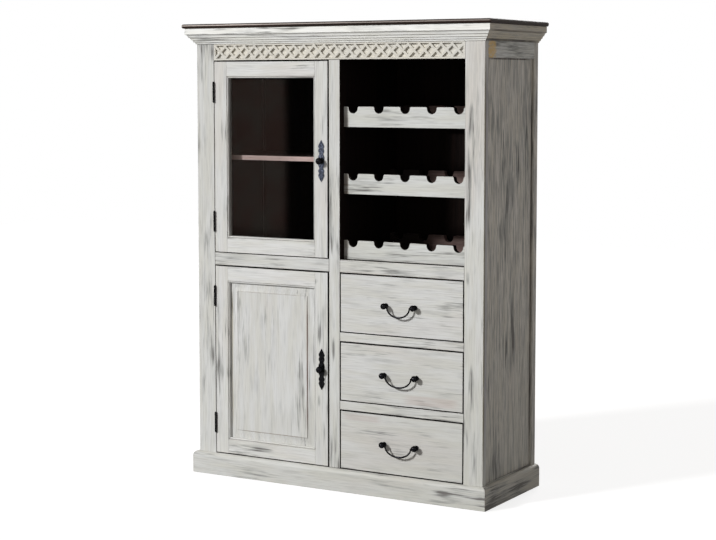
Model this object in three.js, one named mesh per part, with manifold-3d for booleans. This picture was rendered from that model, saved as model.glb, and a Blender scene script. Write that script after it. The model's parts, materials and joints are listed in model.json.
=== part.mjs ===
// Free-standing wine cabinet in distressed white paint: a glazed door over a panelled door on the left,
// bottle racks over three drawers on the right, a carved lattice frieze and a dark moulded top.
// Millimetres, +Z up. The front looks along -Y, the cabinet stands on z = 0, and the origin lies under
// the middle of its bounding box.
import * as THREE from "three";
import { mergeGeometries, mergeVertices } from "three/addons/utils/BufferGeometryUtils.js";
import Module from "manifold-3d";

const wasm = await Module();
wasm.setup();

// Overall sizes
const bodyWidth = 1060;
const bodyDepth = 384;
const cabinetHeight = 1500;
const fitGap = 0.3; // between two pieces that touch
const cutOverrun = 5; // how far a cutting shape runs past what it cuts

// Top board and cornice
const topThickness = 14;
const topOverhang = 36;
const topNoseRadius = 5.5;
const corniceHeight = 51;
const corniceProjection = 29.5;

// Face frame
const frameThickness = 22;
const postWidth = 67;
const centerPostWidth = 40;
const friezeRailHeight = 105;
const midRailHeight = 41;
const dividerHeight = 28.5;

// Carved lattice on the frieze rail
const latticeMargin = 7;
const latticeRise = 27; // lattice centre above the rail's lower edge
const latticeHeight = 42;
const latticeDepth = 7;
const latticeBandWidth = 7.5;
const latticeCellHeight = 37;
const latticeCellWidth = 38; // about, as whole cells fill the rail

// Plinth boards
const plinthHeight = 72;
const plinthThickness = 17;
const plinthRound = 14;

// Sides, back and inner boards
const sidePanelRecess = 8;
const sidePanelThickness = 14;
const sideGrooveDepth = 6;
const sideRailHeight = 102;
const backPostDepth = 28;
const backPanelThickness = 8;
const boardThickness = 18;
const shelfThickness = 15.5;
const shelfTopRise = 322.5; // shelf top above the mid rail
const shelfSetback = 45; // shelf edge behind the front

// Bottle racks
const rackSetback = 26;
const rackRailThickness = 20;
const rackRailHeight = 65;
const rackTopRise = 61; // top of the lowest rack above the mid rail
const rackPitch = 212.5;
const rackBackInset = 30; // rear rail in front of the back panel
const rackBattenWidth = 18;
const rackBattenHeight = 38;
const notchRadius = 16.5;
const notchLipRadius = 5;
const notchPitch = 93.8;
const rackCount = 3;

// Doors
const doorGapHinge = 2;
const doorGapLock = 4;
const doorGapTop = 3;
const doorGapBottom = 2.5;
const doorThickness = 20;
const doorFlatWidth = 48; // flat face of stiles and rails
const doorMouldingWidth = 6;
const doorMouldingDrop = 5.8;
const doorMouldingQuirk = 1.2;
const infillSetback = 11; // glass and panel behind the door's face
const infillThickness = 4;
const infillGrooveDepth = 8;
const fieldInset = 28; // raised field inside the sight edge
const fieldStep = 2;
const fieldProud = 7; // field in front of the panel's tongue

// Door hinges
const hingeBarrelRadius = 4;
const hingeHeight = 70;
const hingeInset = 101; // hinge centre from the door's end
const hingeLeafThickness = 1.4;
const hingeLeafDepth = 16;

// Door furniture
const escutcheonLength = 134;
const escutcheonWidth = 22;
const escutcheonThickness = 2;
const knobBallRadius = 11;
const knobBallRise = 12.5; // ball centre above the escutcheon
const knobNeckRadius = 5;
const knobRoseRadius = 9;
const knobRoseThickness = 2.5;
const upperKnobRise = 310; // knob centre above its door's lower edge
const lowerKnobRise = 314;

// Drawers
const drawerGap = 2.5;
const drawerFrontThickness = 20;
const drawerBoxHeight = 165;
const drawerBackGap = 55.7; // between a drawer box and the back panel
const drawerSideClearance = 4;
const drawerWall = 10;
const drawerFloor = 8;
const dustBoardThickness = 12;
const dustBoardBackGap = 58; // between a dust board and the back panel
const guideClearance = 1.5;
const guideWidth = 20;
const guideHeight = 20;
const drawerCount = 3;

// Bail handles, one pitch for each drawer from the top down: they are hand-made and differ
const handlePitches = [103, 115, 115];
const handleBallRadius = 9.8;
const handleBallRise = 17;
const handleNeckRadius = 5.5;
const handleFootRadius = 8;
const handleFootThickness = 2;
const bailRadius = 2.1;
const bailDrop = 32;
const bailPinInset = 4; // how far from the ball's centre the pin stops
const bailCollar = 1; // straight part of the pin outside the ball
const bailArmOffset = 16; // bail arm from the ball's centre
const bailShoulder = 10; // height over which an arm turns down
const bailArmShare = 0.8; // how far down the arm stays upright, of the drop
const bailBellyShare = 0.6; // half width of the flat belly, of the arm's place

// Smoothness of round shapes
const roundSegments = 16;
const arcSegments = 5;
const bailSteps = 40;
const bailSides = 8;

// Places that follow from the sizes
const halfWidth = bodyWidth / 2;
const frontY = topOverhang - (bodyDepth + topOverhang) / 2;
const backY = frontY + bodyDepth;
const topUnderside = cabinetHeight - topThickness;
const friezeBottom = topUnderside - friezeRailHeight;
const bayHeight = (friezeBottom - midRailHeight - plinthHeight) / 2;
const midRailBottom = plinthHeight + bayHeight;
const midRailTop = midRailBottom + midRailHeight;
const sideFrameThickness = sidePanelRecess + sidePanelThickness;
const interiorX = halfWidth - sideFrameThickness;
const interiorFrontY = frontY + frameThickness;
const interiorBackY = backY - backPanelThickness;
const bayOuterX = halfWidth - postWidth;
const bayInnerX = centerPostWidth / 2;
const bayWidth = bayOuterX - bayInnerX;
const bayCenterX = (bayOuterX + bayInnerX) / 2;
const partitionLeftX = bayInnerX - boardThickness;
const doorWidth = bayWidth - doorGapHinge - doorGapLock;
const doorHeight = bayHeight - doorGapTop - doorGapBottom;
const doorMemberWidth = doorFlatWidth + doorMouldingWidth;
const drawerOpeningHeight = (bayHeight - (drawerCount - 1) * dividerHeight) / drawerCount;
const drawerPitch = drawerOpeningHeight + dividerHeight;
const drawerBoxY = drawerFrontThickness + fitGap;
const drawerBoxDepth = bodyDepth - backPanelThickness - drawerBackGap - drawerBoxY;
const dustBoardRearY = interiorBackY - dustBoardBackGap;
const notchClearWidth = bayWidth - 2 * (notchRadius + notchLipRadius);
const notchCount = Math.floor(notchClearWidth / notchPitch) + 1;
const latticeHalfRun = bayOuterX - latticeMargin;
const latticeRepeats = Math.round((2 * latticeHalfRun) / latticeCellWidth);

// Finishes
const whitePaint = { color: 0xc8c8c4, roughness: 0.72, metalness: 0 };
const ivoryPaint = { color: 0xdedac9, roughness: 0.7, metalness: 0 };
const darkStain = { color: 0x46342c, roughness: 0.42, metalness: 0 };
const innerStain = { color: 0x2b201c, roughness: 0.8, metalness: 0 };
const bareWood = { color: 0x7a5c46, roughness: 0.75, metalness: 0 };
const blackIron = { color: 0x17171b, roughness: 0.45, metalness: 0.85 };
const clearGlass = { color: 0xdfe6e3, roughness: 0.05, metalness: 0, transparent: true, opacity: 0.25 };

const cabinet = new THREE.Group();

// A named mesh with a material of its own, added to a group
function piece(name, geometry, finish, parent = cabinet) {
  const mesh = new THREE.Mesh(geometry, new THREE.MeshStandardMaterial(finish));
  mesh.name = name;
  parent.add(mesh);
  return mesh;
}

// Closed mesh to solid and back, for joins and cuts
function solidOf(geometry) {
  const bare = geometry.clone();
  bare.deleteAttribute("normal");
  bare.deleteAttribute("uv");
  const merged = mergeVertices(bare);
  return new wasm.Manifold(
    new wasm.Mesh({
      numProp: 3,
      vertProperties: new Float32Array(merged.attributes.position.array),
      triVerts: new Uint32Array(merged.index.array),
    }),
  );
}

function geometryOf(solid) {
  const mesh = solid.getMesh();
  const geometry = new THREE.BufferGeometry();
  geometry.setAttribute("position", new THREE.BufferAttribute(new Float32Array(mesh.vertProperties), 3));
  geometry.setIndex(new THREE.BufferAttribute(new Uint32Array(mesh.triVerts), 1));
  geometry.computeVertexNormals();
  return geometry;
}

function joined(first, ...others) {
  return geometryOf(others.reduce((solid, other) => solid.add(solidOf(other)), solidOf(first)));
}

function cut(first, ...tools) {
  return geometryOf(tools.reduce((solid, tool) => solid.subtract(solidOf(tool)), solidOf(first)));
}

function common(first, second) {
  return geometryOf(solidOf(first).intersect(solidOf(second)));
}

// A box between two corners
function box(x0, x1, y0, y1, z0, z1) {
  const geometry = new THREE.BoxGeometry(x1 - x0, y1 - y0, z1 - z0);
  return geometry.translate((x0 + x1) / 2, (y0 + y1) / 2, (z0 + z1) / 2);
}

// Prisms over a flat outline of [a, b] points: upright, from front to back, and from left to right
const axisX = new THREE.Vector3(1, 0, 0);
const axisY = new THREE.Vector3(0, 1, 0);
const axisZ = new THREE.Vector3(0, 0, 1);
const frontView = new THREE.Matrix4().makeBasis(axisX, axisZ, axisY.clone().negate());
const sideView = new THREE.Matrix4().makeBasis(axisY, axisZ, axisX);

function shapeOf(points) {
  return new THREE.Shape(points.map(([a, b]) => new THREE.Vector2(a, b)));
}

function extruded(shape, depth) {
  return new THREE.ExtrudeGeometry(shape, { depth, bevelEnabled: false, curveSegments: arcSegments });
}

function uprightPrism(points, z0, z1) {
  return extruded(shapeOf(points), z1 - z0).translate(0, 0, z0);
}

function frontPrism(shape, y0, y1) {
  return extruded(shape, y1 - y0).applyMatrix4(frontView).translate(0, y1, 0);
}

function sidePrism(points, x0, x1) {
  return extruded(shapeOf(points), x1 - x0).applyMatrix4(sideView).translate(x0, 0, 0);
}

// A moulding: a profile of [outward, height] points carried from station to station, each station giving
// a corner of the body and the way outward there
function moulding(profile, stations) {
  const positions = stations.flatMap(({ x, y, outX, outY }) =>
    profile.flatMap(([out, z]) => [x + out * outX, y + out * outY, z]),
  );
  const count = profile.length;
  const index = [];
  for (let s = 0; s + 1 < stations.length; s += 1) {
    for (let i = 0; i < count; i += 1) {
      const here = s * count + i;
      const next = s * count + ((i + 1) % count);
      index.push(here, here + count, next, next, here + count, next + count);
    }
  }
  const outline = profile.map(([a, b]) => new THREE.Vector2(a, b));
  const last = (stations.length - 1) * count;
  for (const [a, b, c] of THREE.ShapeUtils.triangulateShape(outline, [])) {
    index.push(a, b, c, last + c, last + b, last + a);
  }
  const geometry = new THREE.BufferGeometry();
  geometry.setAttribute("position", new THREE.Float32BufferAttribute(positions, 3));
  geometry.setIndex(index);
  geometry.computeVertexNormals();
  return geometry;
}

// Corners of the body from the back left round the front to the back right
const backLeft = { x: -halfWidth, y: backY, outX: -1, outY: 0 };
const frontLeft = { x: -halfWidth, y: frontY, outX: -1, outY: -1 };
const frontRight = { x: halfWidth, y: frontY, outX: 1, outY: -1 };
const backRight = { x: halfWidth, y: backY, outX: 1, outY: 0 };

// A turned shape that stands out along -Y from y = 0, from [radius, rise] points
function turned(points) {
  const profile = points.map(([r, rise]) => new THREE.Vector2(r, rise));
  return new THREE.LatheGeometry(profile, roundSegments).rotateX(Math.PI);
}

// Points of a ball's outline from a neck of the given radius to the ball's far pole
function ballPoints(radius, rise, neckRadius) {
  const start = Math.PI - Math.asin(neckRadius / radius);
  const points = [];
  for (let i = 0; i <= arcSegments; i += 1) {
    const angle = start * (1 - i / arcSegments);
    const r = i === arcSegments ? 0 : radius * Math.sin(angle);
    points.push([r, rise + radius * Math.cos(angle)]);
  }
  return points;
}

// Top board with a rounded nose on its front and ends, square at the back
function makeTop() {
  const sideX = halfWidth + topOverhang;
  const noseX = sideX - topNoseRadius;
  const noseY = frontY - topOverhang + topNoseRadius;
  const rearY = backY + cutOverrun;
  const plan = shapeOf([[-noseX, noseY], [noseX, noseY], [noseX, rearY], [-noseX, rearY]]);
  const nosed = new THREE.ExtrudeGeometry(plan, {
    depth: topThickness - 2 * topNoseRadius,
    bevelThickness: topNoseRadius,
    bevelSize: topNoseRadius,
    bevelSegments: arcSegments,
  });
  nosed.translate(0, 0, topUnderside + topNoseRadius);
  const kept = box(
    -sideX - cutOverrun, sideX + cutOverrun,
    frontY - topOverhang - cutOverrun, backY,
    topUnderside - cutOverrun, cabinetHeight + cutOverrun,
  );
  piece("top_panel", common(nosed, kept), darkStain);
}

// Cornice profile as shares of its projection and height: ovolo, fillet, cove and fascia
const corniceFootShare = 0.2;
const corniceOvoloShares = [0.49, 0.16];
const corniceFilletShares = [0.52, 0.42];
const corniceCoveShares = [0.6, 0.44];
const corniceCoveBendShares = [0.64, 0.66];
const corniceCoveTopShares = [0.88, 0.72];
const corniceFasciaShare = 0.77;

function makeCornice() {
  const base = topUnderside - fitGap - corniceHeight;
  const at = ([outShare, upShare]) => [outShare * corniceProjection, base + upShare * corniceHeight];
  const path = new THREE.Path();
  path.moveTo(fitGap, base);
  path.lineTo(corniceFootShare * corniceProjection, base);
  path.quadraticCurveTo(...at([corniceOvoloShares[0], 0]), ...at(corniceOvoloShares));
  path.lineTo(...at(corniceFilletShares));
  path.lineTo(...at(corniceCoveShares));
  path.quadraticCurveTo(...at(corniceCoveBendShares), ...at(corniceCoveTopShares));
  path.lineTo(...at([corniceCoveTopShares[0], corniceFasciaShare]));
  path.lineTo(...at([1, corniceFasciaShare]));
  path.lineTo(...at([1, 1]));
  path.lineTo(fitGap, base + corniceHeight);
  const profile = path.getPoints(arcSegments).map((p) => [p.x, p.y]);
  piece("cornice", moulding(profile, [backLeft, frontLeft, frontRight, backRight]), whitePaint);
}

// Three plinth boards round the foot, mitred at the front corners and rounded on top
function makePlinth() {
  const path = new THREE.Path();
  path.moveTo(fitGap, 0);
  path.lineTo(plinthThickness, 0);
  path.lineTo(plinthThickness, plinthHeight - plinthRound);
  path.absarc(plinthThickness - plinthRound, plinthHeight - plinthRound, plinthRound, 0, Math.PI / 2, false);
  path.lineTo(fitGap, plinthHeight);
  const profile = path.getPoints(arcSegments).map((p) => [p.x, p.y]);
  const leftMitre = { ...frontLeft, x: frontLeft.x + fitGap };
  const rightMitre = { ...frontRight, x: frontRight.x - fitGap };
  piece("plinth_front", moulding(profile, [leftMitre, rightMitre]), whitePaint);
  piece("plinth_left", moulding(profile, [backLeft, frontLeft]), whitePaint);
  piece("plinth_right", moulding(profile, [frontRight, backRight]), whitePaint);
}

// Posts, side rails and side panels of one side: -1 is the left and 1 the right.
// Places across the side are written inward from its outer face.
function makeSide(side, word) {
  const inward = (d) => side * (halfWidth - d);
  const plan = (points) => points.map(([d, y]) => [inward(d), y]);
  const panelOuter = sidePanelRecess;
  const panelInner = sideFrameThickness;
  const grooveY = interiorFrontY - sideGrooveDepth;
  const rabbetY = backY - backPostDepth;
  const postTop = topUnderside - fitGap;
  piece("front_post_" + word, uprightPrism(plan([
    [0, frontY],
    [postWidth, frontY],
    [postWidth, interiorFrontY],
    [panelInner + fitGap, interiorFrontY],
    [panelInner + fitGap, grooveY],
    [panelOuter, grooveY],
    [panelOuter, interiorFrontY],
    [0, interiorFrontY],
  ]), 0, postTop), whitePaint);
  piece("back_post_" + word, uprightPrism(plan([
    [0, rabbetY],
    [panelOuter, rabbetY],
    [panelOuter, rabbetY + sideGrooveDepth],
    [panelInner, rabbetY + sideGrooveDepth],
    [panelInner, backY],
    [0, backY],
  ]), 0, postTop), whitePaint);
  const railBottom = topUnderside - sideRailHeight;
  const railSection = [
    [0, railBottom],
    [panelOuter, railBottom],
    [panelOuter, railBottom + sideGrooveDepth],
    [panelInner, railBottom + sideGrooveDepth],
    [panelInner, postTop],
    [0, postTop],
  ];
  const section = shapeOf(railSection.map(([d, z]) => [inward(d), z]));
  piece("side_rail_" + word, frontPrism(section, interiorFrontY + fitGap, rabbetY - fitGap), whitePaint);
  const panelX = [inward(panelOuter + fitGap), inward(panelInner)].sort((a, b) => a - b);
  piece("side_panel_" + word, box(
    ...panelX,
    grooveY + fitGap, rabbetY + sideGrooveDepth - fitGap,
    plinthHeight + fitGap, railBottom + sideGrooveDepth - fitGap,
  ), whitePaint);
}

// Frieze rail carved with a diagonal lattice: whole lozenges on the centre line, halves at both ends, and
// triangles above and below the crossings
function makeFriezeRail() {
  const railX = bayOuterX - fitGap;
  const centerZ = friezeBottom + latticeRise;
  const period = (2 * latticeHalfRun) / latticeRepeats;
  const slope = latticeCellHeight / period;
  const angle = Math.atan(slope);
  const bandAcross = latticeBandWidth / 2 / Math.sin(angle);
  const bandUp = latticeBandWidth / 2 / Math.cos(angle);
  const lozengeX = period / 2 - bandAcross;
  const lozengeZ = latticeCellHeight / 2 - bandUp;
  const triangleZ = latticeHeight / 2;
  const triangleX = (triangleZ - bandUp) / slope;
  const pockets = [];
  const carve = (x, points) => {
    const outline = shapeOf(points.map(([across, up]) => [x + across, centerZ + up]));
    pockets.push(frontPrism(outline, frontY - cutOverrun, frontY + latticeDepth));
  };
  for (let i = 0; i <= latticeRepeats; i += 1) {
    const left = i === 0 ? [] : [[-lozengeX, 0]];
    const right = i === latticeRepeats ? [] : [[lozengeX, 0]];
    carve(i * period - latticeHalfRun, [...right, [0, lozengeZ], ...left, [0, -lozengeZ]]);
  }
  for (let i = 0; i < latticeRepeats; i += 1) {
    for (const up of [-1, 1]) {
      const corners = [[0, up * bandUp], [-triangleX, up * triangleZ], [triangleX, up * triangleZ]];
      carve((i + 1 / 2) * period - latticeHalfRun, corners);
    }
  }
  const rail = box(-railX, railX, frontY, interiorFrontY, friezeBottom, topUnderside - fitGap);
  piece("frieze_rail", cut(rail, mergeGeometries(pockets)), ivoryPaint);
}

// Centre post and mid rail, halved into each other where they cross
function makeCrossing() {
  const halfY = frontY + frameThickness / 2;
  const backCut = interiorFrontY + cutOverrun;
  const frontCut = frontY - cutOverrun;
  const post = box(
    -bayInnerX, bayInnerX, frontY, interiorFrontY,
    plinthHeight + fitGap, friezeBottom - fitGap,
  );
  const postNotch = box(
    -bayInnerX - cutOverrun, bayInnerX + cutOverrun, halfY, backCut,
    midRailBottom - fitGap, midRailTop + fitGap,
  );
  piece("center_post", cut(post, postNotch), whitePaint);
  const railX = bayOuterX - fitGap;
  const rail = box(-railX, railX, frontY, interiorFrontY, midRailBottom, midRailTop);
  const railNotch = box(
    -bayInnerX - fitGap, bayInnerX + fitGap, frontCut, halfY + fitGap,
    midRailBottom - cutOverrun, midRailTop + cutOverrun,
  );
  piece("mid_rail", cut(rail, railNotch), whitePaint);
}

// A strip beside a drawer that keeps it running straight
function drawerGuide(z) {
  const guideX = bayOuterX - drawerSideClearance + guideClearance;
  return box(
    guideX, guideX + guideWidth,
    interiorFrontY + fitGap, dustBoardRearY,
    z - cutOverrun, z + guideHeight,
  );
}

// Bottom board, partition, mid board, shelf and back panel
function makeInnerBoards() {
  const innerX = interiorX - fitGap;
  const innerY = interiorFrontY + fitGap;
  const rearY = interiorBackY - fitGap;
  const centerY = (innerY + rearY) / 2;
  const frontNotchX = bayOuterX - fitGap;
  const backNotchY = backY - backPostDepth - fitGap;
  const bottom = uprightPrism([
    [-frontNotchX, frontY],
    [frontNotchX, frontY],
    [frontNotchX, innerY],
    [halfWidth, innerY],
    [halfWidth, backNotchY],
    [innerX, backNotchY],
    [innerX, backY],
    [-innerX, backY],
    [-innerX, backNotchY],
    [-halfWidth, backNotchY],
    [-halfWidth, innerY],
    [-frontNotchX, innerY],
  ], plinthHeight - boardThickness, plinthHeight);
  piece("bottom_board", joined(bottom, drawerGuide(plinthHeight)), innerStain);

  const midBoardBottom = midRailTop - boardThickness;
  const partition = box(
    partitionLeftX, bayInnerX, innerY, rearY,
    plinthHeight + fitGap, topUnderside - fitGap,
  );
  const partitionSlot = box(
    partitionLeftX - cutOverrun, bayInnerX + cutOverrun, centerY, rearY + cutOverrun,
    midBoardBottom - fitGap, midRailTop + fitGap,
  );
  piece("partition", cut(partition, partitionSlot), innerStain);
  const midBoard = box(-innerX, innerX, innerY, rearY, midBoardBottom, midRailTop);
  const midBoardSlot = box(
    partitionLeftX - fitGap, bayInnerX + fitGap, innerY - cutOverrun, centerY + fitGap,
    midBoardBottom - cutOverrun, midRailTop + cutOverrun,
  );
  piece("mid_board", cut(midBoard, midBoardSlot), innerStain);

  const shelfTop = midRailTop + shelfTopRise;
  piece("shelf", box(
    -innerX, partitionLeftX - fitGap,
    frontY + shelfSetback, rearY,
    shelfTop - shelfThickness, shelfTop,
  ), bareWood);
  piece("back_panel", box(
    -innerX, innerX, interiorBackY, backY,
    plinthHeight + fitGap, topUnderside - fitGap,
  ), innerStain);
}

// Drawer dividers: a front rail with a dust board and a guide behind it
function makeDividers() {
  for (let i = 1; i < drawerCount; i += 1) {
    const top = midRailBottom - i * drawerPitch + dividerHeight;
    const leftX = bayInnerX + fitGap;
    const rightX = bayOuterX - fitGap;
    const innerX = interiorX - fitGap;
    const innerY = interiorFrontY + fitGap;
    const rearY = dustBoardRearY;
    const board = uprightPrism([
      [leftX, frontY],
      [rightX, frontY],
      [rightX, innerY],
      [innerX, innerY],
      [innerX, rearY],
      [leftX, rearY],
    ], top - dustBoardThickness, top);
    const rail = box(leftX, rightX, frontY, interiorFrontY, top - dividerHeight, top);
    piece("drawer_divider_" + i, joined(board, rail, drawerGuide(top)), whitePaint);
  }
}

// Bottle racks: a notched front rail and a notched rear rail on two side battens
function rackRail(leftX, rightX, bottom, top, y0) {
  const shape = new THREE.Shape();
  const arcZ = top - notchLipRadius;
  shape.moveTo(leftX, bottom);
  shape.lineTo(rightX, bottom);
  shape.lineTo(rightX, top);
  for (let i = notchCount - 1; i >= 0; i -= 1) {
    const x = bayCenterX + (i - (notchCount - 1) / 2) * notchPitch;
    const lipX = notchRadius + notchLipRadius;
    shape.absarc(x + lipX, arcZ, notchLipRadius, Math.PI / 2, Math.PI, false);
    shape.absarc(x, arcZ, notchRadius, 0, Math.PI, true);
    shape.absarc(x - lipX, arcZ, notchLipRadius, 0, Math.PI / 2, false);
  }
  shape.lineTo(leftX, top);
  return frontPrism(shape, y0, y0 + rackRailThickness);
}

function makeRacks() {
  const leftX = bayInnerX + fitGap;
  const rightX = interiorX - fitGap;
  const frontRailY = frontY + rackSetback;
  const rearRailY = interiorBackY - rackBackInset - rackRailThickness;
  for (let i = 0; i < rackCount; i += 1) {
    const top = midRailTop + rackTopRise + i * rackPitch;
    const bottom = Math.max(top - rackRailHeight, midRailTop + fitGap);
    const battenY = [frontRailY + rackRailThickness / 2, rearRailY + rackRailThickness / 2];
    const battenZ = [bottom, bottom + rackBattenHeight];
    piece("rack_" + (i + 1), joined(
      rackRail(leftX, rightX, bottom, top, frontRailY),
      rackRail(leftX, rightX, bottom, top, rearRailY),
      box(leftX, leftX + rackBattenWidth, ...battenY, ...battenZ),
      box(rightX - rackBattenWidth, rightX, ...battenY, ...battenZ),
    ), whitePaint);
  }
}

// Section of a door member: flat face, quirk and ovolo on the inner edge, and the groove for the infill.
// Across runs from the outer edge to the sight edge, back from the face.
function doorSection() {
  const grooveX = doorMemberWidth - infillGrooveDepth;
  const grooveBack = infillSetback + infillThickness + 2 * fitGap;
  const path = new THREE.Path();
  path.moveTo(0, 0);
  path.lineTo(doorFlatWidth, 0);
  path.lineTo(doorFlatWidth, doorMouldingQuirk);
  path.quadraticCurveTo(
    doorMemberWidth, doorMouldingQuirk,
    doorMemberWidth, doorMouldingQuirk + doorMouldingDrop,
  );
  path.lineTo(doorMemberWidth, infillSetback);
  path.lineTo(grooveX, infillSetback);
  path.lineTo(grooveX, grooveBack);
  path.lineTo(doorMemberWidth, grooveBack);
  path.lineTo(doorMemberWidth, doorThickness);
  path.lineTo(0, doorThickness);
  return path.getPoints(arcSegments).map((p) => [p.x, p.y]);
}

// Escutcheon outline: one quarter in shares of half the width and half the length, from the middle to the tip
const escutcheonShares = [
  [1, 0], [1, 0.2], [0.86, 0.27], [0.66, 0.35], [0.94, 0.44], [0.96, 0.53],
  [0.8, 0.6], [0.97, 0.67], [0.8, 0.77], [0.3, 0.92],
];

function escutcheonShape(x, z) {
  const quarter = escutcheonShares.map(([a, b]) => [a * escutcheonWidth / 2, b * escutcheonLength / 2]);
  const back = [...quarter].reverse();
  const tip = [0, escutcheonLength / 2];
  const outline = [
    ...quarter,
    tip,
    ...back.map(([a, b]) => [-a, b]),
    ...quarter.slice(1).map(([a, b]) => [-a, -b]),
    [0, -tip[1]],
    ...back.slice(0, -1).map(([a, b]) => [a, -b]),
  ];
  return shapeOf(outline.map(([a, b]) => [x + a, z + b]));
}

// Wedge-edged raised panel: a thin tongue all round, bevels rising to a field with a small step
function raisedPanel(left, right, bottom, top, tongueY) {
  const tongueInset = doorMemberWidth - infillGrooveDepth + fitGap;
  const edgeInset = doorMemberWidth + fitGap;
  const fieldEdge = doorMemberWidth + fieldInset;
  const bevelY = tongueY - fieldProud + fieldStep;
  const tongue = box(
    left + tongueInset, right - tongueInset,
    tongueY, tongueY + infillThickness,
    bottom + tongueInset, top - tongueInset,
  );
  const field = box(
    left + fieldEdge, right - fieldEdge,
    tongueY - fieldProud, tongueY + infillThickness / 2,
    bottom + fieldEdge, top - fieldEdge,
  );
  const ring = (inset, y) => [
    [left + inset, y, bottom + inset],
    [right - inset, y, bottom + inset],
    [right - inset, y, top - inset],
    [left + inset, y, top - inset],
  ];
  const bevels = new THREE.BufferGeometry();
  const corners = [
    ...ring(fieldEdge, bevelY),
    ...ring(edgeInset, tongueY),
    ...ring(edgeInset, tongueY + infillThickness / 2),
  ];
  const index = [0, 1, 2, 0, 2, 3, 8, 10, 9, 8, 11, 10];
  for (const start of [0, 4]) {
    for (let i = 0; i < 4; i += 1) {
      const here = start + i;
      const next = start + ((i + 1) % 4);
      index.push(here, here + 4, next, next, here + 4, next + 4);
    }
  }
  bevels.setAttribute("position", new THREE.Float32BufferAttribute(corners.flat(), 3));
  bevels.setIndex(index);
  return joined(tongue, bevels, field);
}

// A door hung on its left side. Its group stands on the hinge axis at the door's lower edge.
function makeDoor(word, openingBottom, knobRise, glazed) {
  const door = new THREE.Group();
  const axisInset = doorGapHinge / 2;
  door.position.set(-bayOuterX + axisInset, frontY - hingeBarrelRadius - fitGap, openingBottom + doorGapBottom);
  cabinet.add(door);

  const left = doorGapHinge - axisInset;
  const right = left + doorWidth;
  const faceY = hingeBarrelRadius + fitGap;
  const section = doorSection();
  const through = (points) => frontPrism(
    shapeOf(points), faceY - cutOverrun, faceY + doorThickness + cutOverrun,
  );
  const flat = doorFlatWidth;
  const sight = doorMemberWidth;
  const stile = (edge, way) => {
    const bar = uprightPrism(section.map(([a, b]) => [edge + way * a, faceY + b]), 0, doorHeight);
    return common(bar, through([
      [edge, 0],
      [edge + way * flat, 0],
      [edge + way * flat, flat],
      [edge + way * sight, sight],
      [edge + way * sight, doorHeight - sight],
      [edge + way * flat, doorHeight - flat],
      [edge + way * flat, doorHeight],
      [edge, doorHeight],
    ]));
  };
  const rail = (edge, way) => {
    const bar = sidePrism(section.map(([a, b]) => [faceY + b, edge + way * a]), left, right);
    return common(bar, through([
      [left + flat + fitGap, edge],
      [right - flat - fitGap, edge],
      [right - flat - fitGap, edge + way * flat],
      [right - sight - fitGap, edge + way * sight],
      [left + sight + fitGap, edge + way * sight],
      [left + flat + fitGap, edge + way * flat],
    ]));
  };
  piece(word + "_door_hinge_stile", stile(left, 1), whitePaint, door);
  piece(word + "_door_lock_stile", stile(right, -1), whitePaint, door);
  piece(word + "_door_bottom_rail", rail(0, 1), whitePaint, door);
  piece(word + "_door_top_rail", rail(doorHeight, -1), whitePaint, door);

  const tongueY = faceY + infillSetback + fitGap;
  const inset = doorMemberWidth - infillGrooveDepth + fitGap;
  if (glazed) {
    piece(word + "_door_glass", box(
      left + inset, right - inset, tongueY, tongueY + infillThickness, inset, doorHeight - inset,
    ), clearGlass, door);
  } else {
    piece(word + "_door_panel", raisedPanel(left, right, 0, doorHeight, tongueY), whitePaint, door);
  }

  const lockX = right - doorFlatWidth / 2;
  piece(word + "_door_escutcheon", frontPrism(
    escutcheonShape(lockX, knobRise), faceY - fitGap - escutcheonThickness, faceY - fitGap,
  ), blackIron, door);
  const knob = piece(word + "_door_knob", turned([
    [0, 0],
    [knobRoseRadius, 0],
    [knobRoseRadius, knobRoseThickness],
    ...ballPoints(knobBallRadius, knobBallRise, knobNeckRadius),
  ]), blackIron, door);
  knob.position.set(lockX, faceY - escutcheonThickness - 2 * fitGap, knobRise);

  const hinges = [["lower", hingeInset], ["upper", doorHeight - hingeInset]];
  for (const [place, z] of hinges) {
    const barrel = new THREE.CylinderGeometry(
      hingeBarrelRadius, hingeBarrelRadius, hingeHeight, roundSegments,
    ).rotateX(Math.PI / 2);
    const leaf = box(
      -hingeLeafThickness / 2, hingeLeafThickness / 2,
      0, faceY + hingeLeafDepth,
      -hingeHeight / 2, hingeHeight / 2,
    );
    const hinge = piece(word + "_door_" + place + "_hinge", joined(barrel, leaf), blackIron, door);
    hinge.position.z = z;
  }
}

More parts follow.
